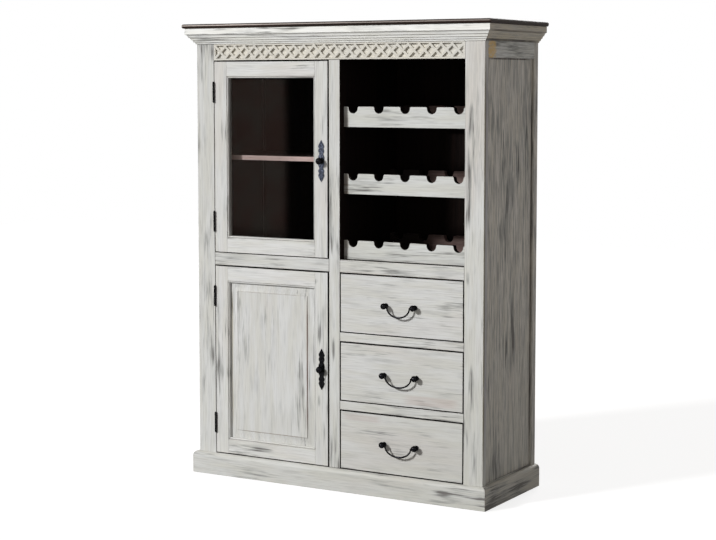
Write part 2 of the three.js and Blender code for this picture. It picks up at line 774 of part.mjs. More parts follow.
// A bail in the x-z plane, hung from the pin line at z = 0 between two balls: pin, shoulder and arm on
// the left, and the same again on the right in reverse
function bailGeometry(pitch) {
  const pinX = pitch / 2 - bailPinInset;
  const shoulderX = pitch / 2 - handleBallRadius - bailCollar;
  const armX = pitch / 2 - bailArmOffset;
  const at = (x, z) => new THREE.Vector3(x, 0, z);
  const path = new THREE.CurvePath();
  path.add(new THREE.LineCurve3(at(-pinX, 0), at(-shoulderX, 0)));
  path.add(new THREE.QuadraticBezierCurve3(at(-shoulderX, 0), at(-armX, 0), at(-armX, -bailShoulder)));
  path.add(new THREE.CubicBezierCurve3(
    at(-armX, -bailShoulder), at(-armX, -bailArmShare * bailDrop),
    at(-bailBellyShare * armX, -bailDrop), at(0, -bailDrop),
  ));
  path.add(new THREE.CubicBezierCurve3(
    at(0, -bailDrop), at(bailBellyShare * armX, -bailDrop),
    at(armX, -bailArmShare * bailDrop), at(armX, -bailShoulder),
  ));
  path.add(new THREE.QuadraticBezierCurve3(at(armX, -bailShoulder), at(armX, 0), at(shoulderX, 0)));
  path.add(new THREE.LineCurve3(at(shoulderX, 0), at(pinX, 0)));
  const section = new THREE.Shape();
  section.absarc(0, 0, bailRadius, 0, 2 * Math.PI, false);
  return new THREE.ExtrudeGeometry(section, {
    steps: bailSteps,
    curveSegments: bailSides / 2,
    extrudePath: path,
  });
}

// A post of a handle: foot, neck and ball, with a hole for the bail's pin on its inner side
function handlePost(innerSide) {
  const post = turned([
    [0, 0],
    [handleFootRadius, 0],
    [handleFootRadius, handleFootThickness],
    [handleNeckRadius, 2 * handleFootThickness],
    ...ballPoints(handleBallRadius, handleBallRise, handleNeckRadius),
  ]);
  const holeLength = handleBallRadius + cutOverrun;
  const holeStart = bailPinInset - fitGap;
  const holeRadius = bailRadius + fitGap;
  const hole = new THREE.CylinderGeometry(holeRadius, holeRadius, holeLength, roundSegments);
  hole.rotateZ(Math.PI / 2);
  hole.translate(innerSide * (holeStart + holeLength / 2), -handleBallRise, 0);
  return cut(post, hole);
}

// Drawers from the top down. A drawer's group stands at the middle of its opening's lower edge.
function makeDrawers() {
  for (let i = 0; i < drawerCount; i += 1) {
    const number = i + 1;
    const drawer = new THREE.Group();
    drawer.position.set(bayCenterX, frontY, midRailBottom - drawerOpeningHeight - i * drawerPitch);
    cabinet.add(drawer);
    const frontX = bayWidth / 2 - drawerGap;
    piece("drawer_front_" + number, box(
      -frontX, frontX, 0, drawerFrontThickness, drawerGap, drawerOpeningHeight - drawerGap,
    ), whitePaint, drawer);

    const boxX = bayWidth / 2 - drawerSideClearance;
    const rearY = drawerBoxY + drawerBoxDepth;
    const tray = box(-boxX, boxX, drawerBoxY, rearY, fitGap, fitGap + drawerBoxHeight);
    const hollow = box(
      drawerWall - boxX, boxX - drawerWall,
      drawerBoxY + drawerWall, rearY - drawerWall,
      fitGap + drawerFloor, fitGap + drawerBoxHeight + cutOverrun,
    );
    piece("drawer_box_" + number, cut(tray, hollow), bareWood, drawer);

    const pitch = handlePitches[i];
    const handle = new THREE.Group();
    handle.position.set(0, -fitGap, drawerOpeningHeight / 2);
    drawer.add(handle);
    const leftPost = piece("handle_post_left_" + number, handlePost(1), blackIron, handle);
    leftPost.position.x = -pitch / 2;
    const rightPost = piece("handle_post_right_" + number, handlePost(-1), blackIron, handle);
    rightPost.position.x = pitch / 2;
    const bail = piece("bail_" + number, bailGeometry(pitch), blackIron, handle);
    bail.position.y = -handleBallRise;
  }
}

makeTop();
makeCornice();
makePlinth();
makeSide(-1, "left");
makeSide(1, "right");
makeFriezeRail();
makeCrossing();
makeInnerBoards();
makeDividers();
makeRacks();
makeDoor("upper", midRailTop, upperKnobRise, true);
makeDoor("lower", plinthHeight, lowerKnobRise, false);
makeDrawers();

export default cabinet;
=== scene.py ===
import json
import math

import bmesh
import bpy
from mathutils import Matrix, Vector

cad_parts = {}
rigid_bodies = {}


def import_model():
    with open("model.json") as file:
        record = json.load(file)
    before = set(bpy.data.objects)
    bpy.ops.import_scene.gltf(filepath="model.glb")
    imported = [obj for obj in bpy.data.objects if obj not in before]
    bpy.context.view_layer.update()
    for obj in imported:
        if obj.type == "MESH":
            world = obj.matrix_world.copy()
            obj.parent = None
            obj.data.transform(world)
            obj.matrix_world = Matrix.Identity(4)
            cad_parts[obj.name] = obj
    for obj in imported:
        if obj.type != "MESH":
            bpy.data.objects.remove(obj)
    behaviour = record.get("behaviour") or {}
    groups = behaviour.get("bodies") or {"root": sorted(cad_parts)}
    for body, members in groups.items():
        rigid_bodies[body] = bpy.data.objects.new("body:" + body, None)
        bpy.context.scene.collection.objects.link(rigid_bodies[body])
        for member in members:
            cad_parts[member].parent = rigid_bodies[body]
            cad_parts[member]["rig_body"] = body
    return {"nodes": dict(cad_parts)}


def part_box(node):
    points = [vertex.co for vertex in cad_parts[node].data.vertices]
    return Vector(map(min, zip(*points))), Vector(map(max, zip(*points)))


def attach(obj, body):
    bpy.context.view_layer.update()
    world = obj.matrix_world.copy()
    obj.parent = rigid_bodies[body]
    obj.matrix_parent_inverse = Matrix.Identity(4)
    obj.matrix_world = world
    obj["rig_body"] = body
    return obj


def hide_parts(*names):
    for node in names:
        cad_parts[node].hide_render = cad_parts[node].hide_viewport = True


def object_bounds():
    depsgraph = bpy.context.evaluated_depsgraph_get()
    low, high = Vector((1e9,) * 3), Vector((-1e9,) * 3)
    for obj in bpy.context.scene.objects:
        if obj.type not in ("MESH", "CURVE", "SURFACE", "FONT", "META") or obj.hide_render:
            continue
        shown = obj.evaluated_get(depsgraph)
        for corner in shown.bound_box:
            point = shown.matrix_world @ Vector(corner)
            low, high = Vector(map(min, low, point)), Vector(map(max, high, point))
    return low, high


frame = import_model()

# Looks of a wine cabinet in distressed white paint, built round its fixed frame.
# Metres, +Z up, the front looks along -Y.
cad_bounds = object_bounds()
MM = 0.001

# The camera of the photograph, and the light of a plain studio
CAMERA_PLACE = (2.8154, -4.8494, 1.3065)
CAMERA_PITCH = 4.7801  # degrees below the horizon
CAMERA_TURN = 30.2638  # degrees from straight on, towards the cabinet's right
CAMERA_LENS = 86.4617
CAMERA_SHIFT = -0.06
KEY_AZIMUTH = -30  # degrees from straight in front, to the left
KEY_ELEVATION = 27
KEY_STRENGTH = 2.8
KEY_SOFTNESS = 8  # degrees across
REAR_AZIMUTH = 192
REAR_ELEVATION = 25
REAR_STRENGTH = 1.6
REAR_SOFTNESS = 20
FILL_STRENGTH = 0.26
FILL_TINT = (1.0, 0.94, 0.88)
FLOOR_SIZE = 16
FLOOR_GREY = 0.34
FLOOR_GLOW = 0.78

# Joining of meshes, and how far the edges of each kind of piece are eased
WELD = 0.01 * MM
FINE = 0.1 * MM
FLAT_ANGLE = math.radians(0.6)
CREASE_ANGLE = math.radians(32)
PAINT_ARRIS = 1.1 * MM
FRONT_ARRIS = 1.0 * MM
THIN_ARRIS = 0.8 * MM
WOOD_ARRIS = 0.7 * MM
CARVED_ARRIS = 0.6 * MM
MOULDING_ARRIS = 0.5 * MM
PLATE_ARRIS = 0.45 * MM
BACK_ARRIS = 0.4 * MM
BOX_ARRIS = 0.3 * MM
QUARTER = math.pi / 2
FACING = 0.5  # least part of a normal along the way its face looks

# Fronts are planed a little more at the top and the free edge, so that they open without rubbing
LOCK_EASE = 0.9 * MM
TOP_EASE = 0.8 * MM

# Grain runs along an axis
ALONG_X = 0
ALONG_Y = 1
ALONG_Z = 2

# Places from the frame
front_post_low, front_post_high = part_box("front_post_right")
FRONT_Y = front_post_low.y
BODY_X = front_post_high.x
BACK_Y = cad_bounds[1].y
DOORS = ("upper_door", "lower_door")
INNER_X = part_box("side_panel_right")[0].x
PANEL_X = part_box("side_panel_right")[1].x
BAY_OUTER_X = front_post_low.x
BAY_INNER_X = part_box("center_post")[1].x
FRIEZE_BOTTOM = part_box("frieze_rail")[0].z
FRIEZE_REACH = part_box("frieze_rail")[1].x
DOOR_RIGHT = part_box("lower_door_lock_stile")[1].x - LOCK_EASE
TOP_LOW, TOP_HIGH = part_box("top_panel")

# Lines drawn where pieces meet: half their width, their inset from an edge, and their colour
GAP = 0.9 * MM
DOOR_GAP = 1.1 * MM
JOINT_INSET = 0.4 * MM
GAP_TONE = (38, 31, 27)
DEEP = 0.06  # how far a spot or mark on one face reaches into the piece
TALL_MIDDLE = 0.728  # middle and half of the height beside both doors
TALL_HALF = 0.655
CUPBOARD_MIDDLE = 0.389  # the same beside the lower door
CUPBOARD_HALF = 0.315
DRAWER_GAP_HEIGHTS = (0.4855, 0.2647)


def srgb(red, green, blue):
    """A colour written as screen values from 0 to 255, as linear RGBA."""
    def linear(value):
        share = value / 255
        return share / 12.92 if share <= 0.04045 else ((share + 0.055) / 1.055) ** 2.4
    return (linear(red), linear(green), linear(blue), 1.0)


class Nodes:
    """A node tree, with short calls for the kinds used here."""

    def __init__(self, tree):
        self.tree = tree
        tree.nodes.clear()

    def fill(self, node, values):
        """Puts values or other nodes' outputs on a node's inputs, by name or number."""
        for key, value in values.items():
            socket = node.inputs[key]
            if isinstance(value, bpy.types.NodeSocket):
                self.tree.links.new(value, socket)
            else:
                socket.default_value = value

    def add(self, kind, values=None, **settings):
        """A node with its settings, and with values on its inputs."""
        node = self.tree.nodes.new(kind)
        for key, value in settings.items():
            setattr(node, key, value)
        self.fill(node, values or {})
        return node

    def ranged(self, value, low, high, to_low=0.0, to_high=1.0, smooth=True):
        kind = "SMOOTHSTEP" if smooth else "LINEAR"
        values = {0: value, 1: low, 2: high, 3: to_low, 4: to_high}
        return self.add("ShaderNodeMapRange", values, interpolation_type=kind).outputs[0]

    def math(self, operation, first, second=0.0):
        return self.add("ShaderNodeMath", {0: first, 1: second}, operation=operation).outputs[0]

    def times(self, first, second):
        return self.math("MULTIPLY", first, second)

    def plus(self, first, second):
        return self.math("ADD", first, second)

    def minus(self, first, second):
        return self.math("SUBTRACT", first, second)

    def larger(self, first, second):
        return self.math("MAXIMUM", first, second)

    def mixed(self, factor, first, second):
        return self.add("ShaderNodeMix", {0: factor, 6: first, 7: second}, data_type="RGBA").outputs[2]

    def seen(self):
        """1 where the eye looks, also by way of glass or gloss, and 0 for light that falls."""
        rays = self.add("ShaderNodeLightPath").outputs
        straight = self.larger(rays["Is Camera Ray"], rays["Is Glossy Ray"])
        return self.larger(straight, rays["Is Transmission Ray"])


class Surface(Nodes):
    """A material's nodes."""

    def __init__(self, name):
        self.material = bpy.data.materials.new(name)
        self.material.use_nodes = True
        super().__init__(self.material.node_tree)
        self.shader = self.add("ShaderNodeBsdfPrincipled")
        self.output = self.add("ShaderNodeOutputMaterial", {0: self.shader.outputs[0]})
        self.place = self.add("ShaderNodeTexCoord").outputs["Object"]
        self.x, self.y, self.z = self.parts(self.place)

    def streaks(self, grain, along, across, seed, detail=3, roughness=0.5, distortion=0.0):
        """Noise with so many features to the metre along the grain and across it."""
        scale = [across] * 3
        scale[grain] = along
        start = (seed, seed * 1.7, seed * 0.6)
        values = {"Vector": self.place, "Scale": scale, "Location": start}
        place = self.add("ShaderNodeMapping", values).outputs[0]
        return self.add("ShaderNodeTexNoise", {
            "Vector": place, "Scale": 1.0, "Detail": detail,
            "Roughness": roughness, "Distortion": distortion,
        }).outputs[0]

    def vector(self, operation, first, second=(0, 0, 0)):
        node = self.add("ShaderNodeVectorMath", {0: first, 1: second}, operation=operation)
        return node.outputs["Value" if operation in ("LENGTH", "DOT_PRODUCT") else "Vector"]

    def parts(self, vector):
        """The x, y and z of a vector."""
        return self.add("ShaderNodeSeparateXYZ", {0: vector}).outputs

    def edges(self, radius):
        """Rises from 0 on flats to 1 on outer and inner edges within the radius."""
        bevel = self.add("ShaderNodeBevel", {"Radius": radius}, samples=4)
        normal = self.add("ShaderNodeNewGeometry").outputs["Normal"]
        return self.ranged(self.vector("DOT_PRODUCT", bevel.outputs[0], normal), 0.995, 0.86)

    def bump(self, height, depth, strength):
        values = {"Strength": strength, "Distance": depth, "Height": height}
        self.fill(self.shader, {"Normal": self.add("ShaderNodeBump", values).outputs[0]})

    def finish(self, color, roughness, specular):
        values = {"Base Color": color, "Roughness": roughness, "Specular IOR Level": specular}
        self.fill(self.shader, values)
        return self.material


def worn_spots(s, spots):
    """Rises in soft round spots: each is a place, half its size along x, y and z, and a weight.

    A weight below 0 keeps the paint whole there."""
    total = 0.0
    for place, size, weight in spots:
        offset = s.vector("SUBTRACT", s.place, place)
        distance = s.vector("LENGTH", s.vector("DIVIDE", offset, size))
        total = s.plus(total, s.ranged(distance, 1.0, 0.25, 0.0, weight))
    return total


def marked(s, color, marks, broken):
    """Draws dark joints, grime and painted shadows: each mark is a place, half its size, a screen colour
    and a strength.
    """
    for place, size, tone, strength in marks:
        distance = s.vector("ABSOLUTE", s.vector("SUBTRACT", s.place, place))
        x, y, z = s.parts(s.vector("DIVIDE", distance, size))
        reach = s.larger(s.larger(x, y), z)
        mask = s.times(s.ranged(reach, 1.0, 0.6, 0.0, strength), broken)
        color = s.mixed(mask, color, srgb(*tone))
    return color


def coat(s, tint, blush, grainy, tone, cool, film, narrow, hair):
    """White paint before it is rubbed: warm and pale fields, blushes, a dull film, streaks, and painted
    shade towards the bottom and the right.
    """
    red, green, blue = tint
    warm = srgb(red, green, blue - 2)
    pale = srgb(red + 5, green + 6, blue + 8)
    base = s.mixed(s.ranged(cool, 0.35, 0.65), warm, pale)
    base = s.mixed(s.ranged(tone, 0.54, 0.7, 0.0, blush), base, srgb(red - 6, green - 15, blue - 17))
    base = s.mixed(s.ranged(film, 0.5, 0.8, 0.0, 0.5), base, srgb(168, 170, 170))
    base = s.mixed(s.ranged(narrow, 0.42, 0.68, 0.0, grainy), base, srgb(150, 149, 146))
    base = s.mixed(s.ranged(hair, 0.5, 0.66, 0.0, 0.04 + 0.6 * grainy), base, srgb(136, 130, 122))
    # Painted shade: the paint darkens towards the bottom and the right
    shade_towards_bottom_right = s.minus(s.times(s.x, 0.5), s.z)
    return s.mixed(s.ranged(shade_towards_bottom_right, -0.45, 0.1, 0.0, 0.36, False), base, srgb(168, 168, 159))


def wear_score(s, wide, narrow, cluster, spots):
    """How much the paint is rubbed: in clusters of streaks, near edges and in its spots."""
    score = s.plus(s.times(wide, 0.62), s.times(narrow, 0.38))
    score = s.plus(score, s.times(s.minus(cluster, 0.5), 0.95))
    score = s.plus(score, s.times(s.edges(10.0 * MM), 0.03))
    if spots:
        score = s.plus(score, s.times(worn_spots(s, spots), 0.125))
    return score


def painted(
    name, grain, wear, seed, tint=(208, 208, 204), grainy=0.25, spots=(), patch=None,
    line=(120, 104, 92), marks=(), blush=0.35, lined=1.0, quiet_above=9.0, fineness=1.0,
):
    """White paint rubbed back along the grain, with the dark wood showing in streaks.

    Blush is how pink the paint gets, lined how strong its edge lines are up to a height.
    A fineness below 1 makes the streaks coarser."""
    s = Surface("white_paint_" + name)
    tone = s.streaks(grain, 1.5, 5.0, seed, 2)
    cool = s.streaks(grain, 5.0, 40.0, seed + 3)
    cluster = s.streaks(grain, 3.6, 12.0, seed + 7)
    wide = s.streaks(grain, 7.0, 110.0, seed + 13, 3, 0.55, 0.1)
    narrow = s.streaks(grain, 11.0, 330.0 * fineness, seed + 19, 3, 0.6)
    hair = s.streaks(grain, 14.0, 700.0 * fineness, seed + 29, 3, 0.6)
    film = s.streaks(grain, 9.0, 55.0, seed + 41)

    base = coat(s, tint, blush, grainy, tone, cool, film, narrow, hair)
    score = wear_score(s, wide, narrow, cluster, spots)
    level = 0.615 - 0.05 * wear
    rubbed = s.ranged(score, level - 0.02, level + 0.14, 0.0, 0.78)
    bare = s.ranged(score, level + 0.1, level + 0.19, 0.0, 0.8)
    base = s.mixed(rubbed, base, srgb(142, 143, 141))
    base = s.mixed(bare, base, srgb(94, 90, 87))

    edge = s.times(s.edges(2.4 * MM), s.ranged(film, 0.35, 0.58))
    edge = s.times(edge, s.ranged(s.z, quiet_above, quiet_above + 0.01, lined, 0.1))
    color = s.mixed(s.times(edge, min(0.3 + 0.4 * wear, 0.85)), base, srgb(*line))
    color = marked(s, color, marks, s.ranged(film, 0.3, 0.55, 0.65, 1.0))
    if patch:
        mottle = s.streaks(grain, 90.0, 130.0, seed + 51, 3, 0.6)
        ragged = s.times(worn_spots(s, [patch]), s.ranged(mottle, 0.36, 0.6, 0.35, 1.0))
        color = s.mixed(s.ranged(ragged, 0.15, 0.7, 0.0, 0.8), color, srgb(222, 184, 112))

    relief = s.plus(s.minus(s.times(hair, 0.3), s.times(rubbed, 0.5)), s.times(narrow, 0.5))
    s.bump(relief, 0.35 * MM, 0.8)
    return s.finish(color, s.ranged(rubbed, 0.0, 0.8, 0.62, 0.8), 0.35)


def carved_paint():
    """Ivory paint of the carved frieze, with grime and painted shade down in the carving's hollows."""
    s = Surface("ivory_paint")
    tone = s.streaks(ALONG_X, 6.0, 12.0, 3.0)
    brush = s.streaks(ALONG_X, 14.0, 160.0, 9.0, 4, 0.6)
    dirt = s.streaks(ALONG_X, 60.0, 60.0, 5.0, 3, 0.6)
    base = s.mixed(s.ranged(tone, 0.35, 0.7), srgb(212, 210, 203), srgb(217, 213, 202))
    base = s.mixed(s.ranged(brush, 0.5, 0.75, 0.0, 0.5), base, srgb(176, 172, 162))
    # Grime and painted shade darken the paint near the walls and corners of the hollows
    deep = s.ranged(s.y, FRONT_Y + 1.0 * MM, FRONT_Y + 6.0 * MM)
    corner = s.times(deep, s.edges(4.2 * MM))
    hollow_grime_and_shade = s.times(corner, s.ranged(dirt, 0.3, 0.6, 0.6, 1.0))
    base = s.mixed(hollow_grime_and_shade, base, srgb(58, 47, 36))
    across = s.math("ABSOLUTE", s.x)
    inside = s.ranged(across, FRIEZE_REACH - 5.0 * MM, FRIEZE_REACH - 8.0 * MM)
    edge = s.times(s.times(s.edges(1.5 * MM), inside), s.ranged(dirt, 0.5, 0.65))
    color = s.mixed(s.times(edge, 0.35), base, srgb(150, 128, 104))
    gap = on_front((0.0, FRIEZE_BOTTOM, FRIEZE_REACH, 1.3 * MM, GAP_TONE, 0.9))
    color = marked(s, color, gap, s.ranged(dirt, 0.3, 0.5, 0.8, 1.0))
    s.bump(brush, 0.25 * MM, 0.7)
    return s.finish(color, s.ranged(brush, 0.3, 0.7, 0.6, 0.75), 0.35)


def painted_highlight_band(s, color, low, high, rings):
    """A painted highlight along a band between two heights, stronger to the left and faint on the right
    end.
    """
    height = s.z
    band = s.times(s.ranged(height, low, low + 1.0 * MM), s.ranged(height, high, high - 1.0 * MM))
    along = s.ranged(s.x, -0.5, 0.5, 1.0, 0.3, False)
    end = s.ranged(s.x, TOP_HIGH.x - 7 * MM, TOP_HIGH.x - 3 * MM, 1.0, 0.2)
    # The band is a painted highlight, broken up by the grain
    worn = s.times(s.times(band, s.times(along, end)), s.ranged(rings, 0.3, 0.6, 0.6, 1.0))
    return s.mixed(worn, color, srgb(226, 214, 207))


def stained(name, grain, dark, light, roughness, seed=0.0, gloss=0.3, highlight_band=None, painted_shade_span=None):
    """Wood grain between a dark and a light tone under a clear or dull finish.

    A painted highlight band lies between two heights. Painted shade darkens the wood left of an x span and
    fades out across it."""
    s = Surface(name)
    tone = s.streaks(grain, 1.5, 6.0, seed)
    rings = s.streaks(grain, 1.8, 55.0, seed + 5, 4, 0.6, 0.6)
    pores = s.streaks(grain, 35.0, 900.0, seed + 11, 2)
    blend = s.plus(s.times(rings, 0.75), s.times(tone, 0.35))
    base = s.mixed(s.ranged(blend, 0.38, 0.72), srgb(*dark), srgb(*light))
    pore_tone = srgb(*[value * 0.45 for value in dark])
    color = s.mixed(s.ranged(pores, 0.56, 0.74, 0.0, 0.55), base, pore_tone)
    if highlight_band:
        color = painted_highlight_band(s, color, *highlight_band, rings)
    # Painted shade: the wood darkens to the left of the span, where it lies out of the light
    if painted_shade_span:
        left_painted_shade = s.ranged(s.x, painted_shade_span[1], painted_shade_span[0], 0.0, 0.9)
        color = s.mixed(left_painted_shade, color, srgb(12, 9, 8))
    s.bump(s.minus(s.times(rings, 0.4), s.times(pores, 0.5)), 0.2 * MM, 0.6)
    return s.finish(color, s.ranged(pores, 0.4, 0.75, roughness, roughness + 0.18), gloss)


def forged_iron(name, dark, light, rust, rim=0.0):
    """Blackened iron with a hammered skin, and a darker rim along a plate's edges."""
    s = Surface(name)
    skin = s.streaks(ALONG_Z, 260.0, 260.0, 2.0, 3, 0.55)
    grit = s.streaks(ALONG_Z, 1500.0, 1500.0, 4.0, 2)
    worn = s.times(s.edges(1.0 * MM), s.ranged(skin, 0.4, 0.6))
    base = s.mixed(s.ranged(skin, 0.35, 0.7), srgb(*dark), srgb(*light))
    base = s.mixed(s.times(worn, 0.3), base, srgb(70, 70, 76))
    base = s.mixed(s.times(s.edges(2.2 * MM), rim), base, srgb(12, 12, 13))
    color = s.mixed(s.ranged(grit, 0.62, 0.78, 0.0, rust), base, srgb(40, 30, 25))
    s.bump(s.plus(s.times(skin, 0.8), s.times(grit, 0.15)), 0.35 * MM, 0.6)
    s.fill(s.shader, {
        "Metallic": 1.0, "Specular Tint": (0.1, 0.1, 0.11, 1.0),
        "Coat Weight": 0.04, "Coat Roughness": 0.14,
    })
    return s.finish(color, s.ranged(skin, 0.3, 0.7, 0.16, 0.34), 0.5)


def window_glass():
    """A clear pane with faint dust, and a painted brownish reflection on its left part."""
    s = Surface("window_glass")
    dust = s.streaks(ALONG_Z, 14.0, 14.0, 1.0, 4, 0.6)
    # The film mask is a painted reflection, on the left part of the pane and fuller higher up
    left = s.ranged(s.x, -0.165, -0.215)
    film = s.times(left, s.ranged(s.z, 0.8, 0.86, 0.6, 1.0))
    film = s.times(film, s.ranged(dust, 0.3, 0.7, 0.75, 1.0))
    reflection_tone = s.mixed(s.ranged(dust, 0.35, 0.65), srgb(80, 62, 57), srgb(72, 67, 62))
    color = s.mixed(film, srgb(8, 7, 7), reflection_tone)
    s.fill(s.shader, {"IOR": 1.45, "Alpha": s.ranged(film, 0.0, 1.0, 0.08, 0.16)})
    return s.finish(color, s.ranged(dust, 0.3, 0.8, 0.03, 0.09), 0.05)


def on_front(*rows):
    """Spots or marks on the front, from x, z, half the width, half the height and the rest."""
    return [((x, FRONT_Y, z), (wide, DEEP, tall), *rest) for x, z, wide, tall, *rest in rows]


FRONT_RAIL_SPOTS = on_front(
    (0.21, 0.727, 0.09, 0.016, 1.0),
    (-0.266, 0.03, 0.12, 0.022, 1.0),
    (0.398, 0.037, 0.05, 0.016, 1.7),
    (0.067, 0.027, 0.1, 0.012, 1.0),
    (0.102, 0.498, 0.08, 0.01, 1.2),
    (0.4, 0.49, 0.09, 0.03, -1.5),
)
RACK_SPOTS = on_front((0.42, 0.77, 0.08, 0.04, -1.2))
DRAWER_SPOTS = on_front(
    (0.131, 0.63, 0.026, 0.014, 1.2),
    (0.185, 0.675, 0.09, 0.01, 1.2),
    (0.4, 0.57, 0.05, 0.05, 1.0),
    (0.386, 0.465, 0.1, 0.018, 1.2),
    (0.379, 0.102, 0.08, 0.014, 1.0),
    (0.094, 0.205, 0.07, 0.016, 1.0),
)
FRONT_POST_SPOTS = on_front(
    (0.491, 0.385, 0.016, 0.13, 1.0),
    (0.476, 0.715, 0.014, 0.04, 1.4),
    (0.474, 0.89, 0.012, 0.07, 1.4),
    (0.5, 0.2, 0.02, 0.12, 1.4),
    (0.481, 0.967, 0.014, 0.12, 1.2),
    (-0.003, 0.451, 0.012, 0.07, 1.6),
    (-0.481, 0.39, 0.018, 0.1, 1.0),
    (-0.509, 0.3, 0.014, 0.06, 1.0),
    (-0.511, 0.12, 0.014, 0.05, 1.0),
    (-0.475, 1.33, 0.024, 0.09, -1.3),
    (-0.475, 1.21, 0.022, 0.06, -1.3),
    (-0.475, 0.72, 0.026, 0.12, -1.0),
    (0.0, 0.93, 0.024, 0.16, -0.45),
    (0.006, 1.17, 0.012, 0.07, 0.8),
    (0.486, 1.19, 0.014, 0.1, 0.9),
)
DOOR_SPOTS = on_front(
    (-0.077, 0.672, 0.022, 0.018, 1.5),
    (-0.055, 0.5, 0.01, 0.06, 1.7),
    (-0.058, 0.285, 0.008, 0.04, 1.5),
    (-0.137, 0.41, 0.022, 0.12, 1.0),
    (-0.338, 0.42, 0.016, 0.1, 1.2),
    (-0.42, 0.41, 0.03, 0.08, -1.5),
    (-0.28, 0.44, 0.022, 0.11, -1.2),
    (-0.096, 0.44, 0.016, 0.12, -1.2),
)
DOOR_RAIL_SPOTS = on_front(
    (-0.277, 0.099, 0.07, 0.012, 1.0),
    (-0.12, 1.36, 0.05, 0.01, 1.2),
    (-0.12, 1.335, 0.08, 0.012, -1.2),
)
SIDE_SPOTS = [
    ((BODY_X, 0.008, 1.145), (DEEP, 0.03, 0.06), 1.0),
    ((BODY_X, 0.001, 0.47), (DEEP, 0.01, 0.1), 1.0),
    ((BODY_X, -0.095, 0.93), (DEEP, 0.01, 0.09), 1.0),
    ((BODY_X, 0.03, 0.17), (DEEP, 0.01, 0.05), 1.0),
]
RAIL_SPOTS = [
    ((BODY_X, 0.045, 1.412), (DEEP, 0.12, 0.022), 1.0),
    ((BODY_X, 0.06, 0.032), (DEEP, 0.16, 0.014), 1.0),
]
FRESH_WOOD_PATCH = ((BODY_X, -0.127, 1.412), (0.04, 0.044, 0.066), 1.0)
SIDE_LINE = (88, 74, 58)
UPRIGHT_MARKS = on_front(
    (JOINT_INSET - BAY_INNER_X, TALL_MIDDLE, GAP, TALL_HALF, GAP_TONE, 0.9),
    (BAY_INNER_X - JOINT_INSET, CUPBOARD_MIDDLE, GAP, CUPBOARD_HALF, GAP_TONE, 0.9),
    (BAY_OUTER_X + JOINT_INSET, CUPBOARD_MIDDLE, GAP, CUPBOARD_HALF, GAP_TONE, 0.9),
    (-BAY_OUTER_X - JOINT_INSET, TALL_MIDDLE, 0.7 * MM, TALL_HALF, GAP_TONE, 0.6),
) + [
    ((BODY_X, FRONT_Y + 4.5 * MM, 0.75), (2.5 * MM, 6.0 * MM, 0.75), (92, 84, 58), 0.85),
    ((BODY_X, FRONT_Y + 14 * MM, 0.75), (2.5 * MM, 9 * MM, 0.75), (150, 146, 158), 0.45),
]
ACROSS_MARKS = on_front(
    (0.0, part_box("mid_rail")[0].z + 0.3 * MM, BAY_OUTER_X, GAP, GAP_TONE, 0.9),
    *[(0.24, height, 0.23, GAP, GAP_TONE, 0.9) for height in DRAWER_GAP_HEIGHTS],
)
# A painted shadow of the centre post on the left end of each front rack rail
RACK_POST_SHADOW = [((0.0285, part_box("rack_1")[0].y, 0.99), (10.5 * MM, 4 * MM, 0.26), (96, 78, 60), 0.65)]
# Painted shadow lines on the cornice's right side, under the fascia and along the foot
CORNICE_SIDE_SHADOW_LINES = [
    ((BODY_X, 0.0, 1.4658), (0.04, 0.22, 3.4 * MM), (70, 60, 44), 0.9),
    ((BODY_X, 0.0, 1.4375), (0.04, 0.22, 5.0 * MM), (40, 33, 24), 0.95),
]
DOOR_MARKS = on_front(
    (DOOR_RIGHT, TALL_MIDDLE, DOOR_GAP, 0.66, GAP_TONE, 0.9),
    *[(-0.24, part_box(door + "_top_rail")[1].z - GAP, 0.23, DOOR_GAP, GAP_TONE, 0.9) for door in DOORS],
)
# Painted shade lines round the lower door's raised field, and a painted shadow strip beside its left stile
PANEL_FIELD_SHADE_LINES = on_front(
    (-0.106, CUPBOARD_MIDDLE, 2.4 * MM, 0.2335, (128, 104, 94), 0.8),
    (-0.4015, CUPBOARD_MIDDLE, 3.4 * MM, 0.26, (150, 142, 112), 0.5),
    (-0.2425, 0.1565, 0.138, 1.6 * MM, (140, 120, 108), 0.7),
    (-0.2425, 0.621, 0.138, 1.5 * MM, (160, 156, 150), 0.5),
)
# Dark joint lines with painted shade where the sunk side panel meets its rail and posts
SIDE_JOINT_SHADE_LINES = [
    ((PANEL_X, 0.015, 1.3818), (5 * MM, 0.17, 3.4 * MM), (56, 42, 32), 0.85),
    ((PANEL_X, 0.1795, 0.73), (5 * MM, 3.2 * MM, 0.66), (60, 46, 36), 0.8),
    ((PANEL_X, -0.1495, 0.73), (5 * MM, 2.4 * MM, 0.66), (70, 58, 46), 0.6),
]
DRAWER_MARKS = on_front(
    (0.35, 0.318, 0.11, 0.018, (178, 158, 150), 0.35),
    (0.1, 0.244, 0.08, 0.012, (178, 158, 150), 0.3),
)
PAINT = {
    ALONG_X: painted("across", ALONG_X, 0.8, 0.0, spots=FRONT_RAIL_SPOTS, marks=ACROSS_MARKS),
    ALONG_Y: painted(
        "deep", ALONG_Y, 2.4, 20.0, grainy=0.6, spots=RAIL_SPOTS,
        patch=FRESH_WOOD_PATCH, line=SIDE_LINE, fineness=0.6,
    ),
    ALONG_Z: painted(
        "upright", ALONG_Z, 0.9, 40.0, spots=FRONT_POST_SPOTS,
        marks=UPRIGHT_MARKS, quiet_above=FRIEZE_BOTTOM,
    ),
}
SIDE_PAINT = painted(
    "side", ALONG_Z, 1.2, 60.0, (210, 205, 196), 1.0, SIDE_SPOTS,
    line=SIDE_LINE, marks=SIDE_JOINT_SHADE_LINES, fineness=0.45,
)
SIDE_PLINTH_PAINT = painted(
    "plinth", ALONG_Y, 2.0, 150.0, (192, 186, 176), 0.6, RAIL_SPOTS, line=SIDE_LINE
)
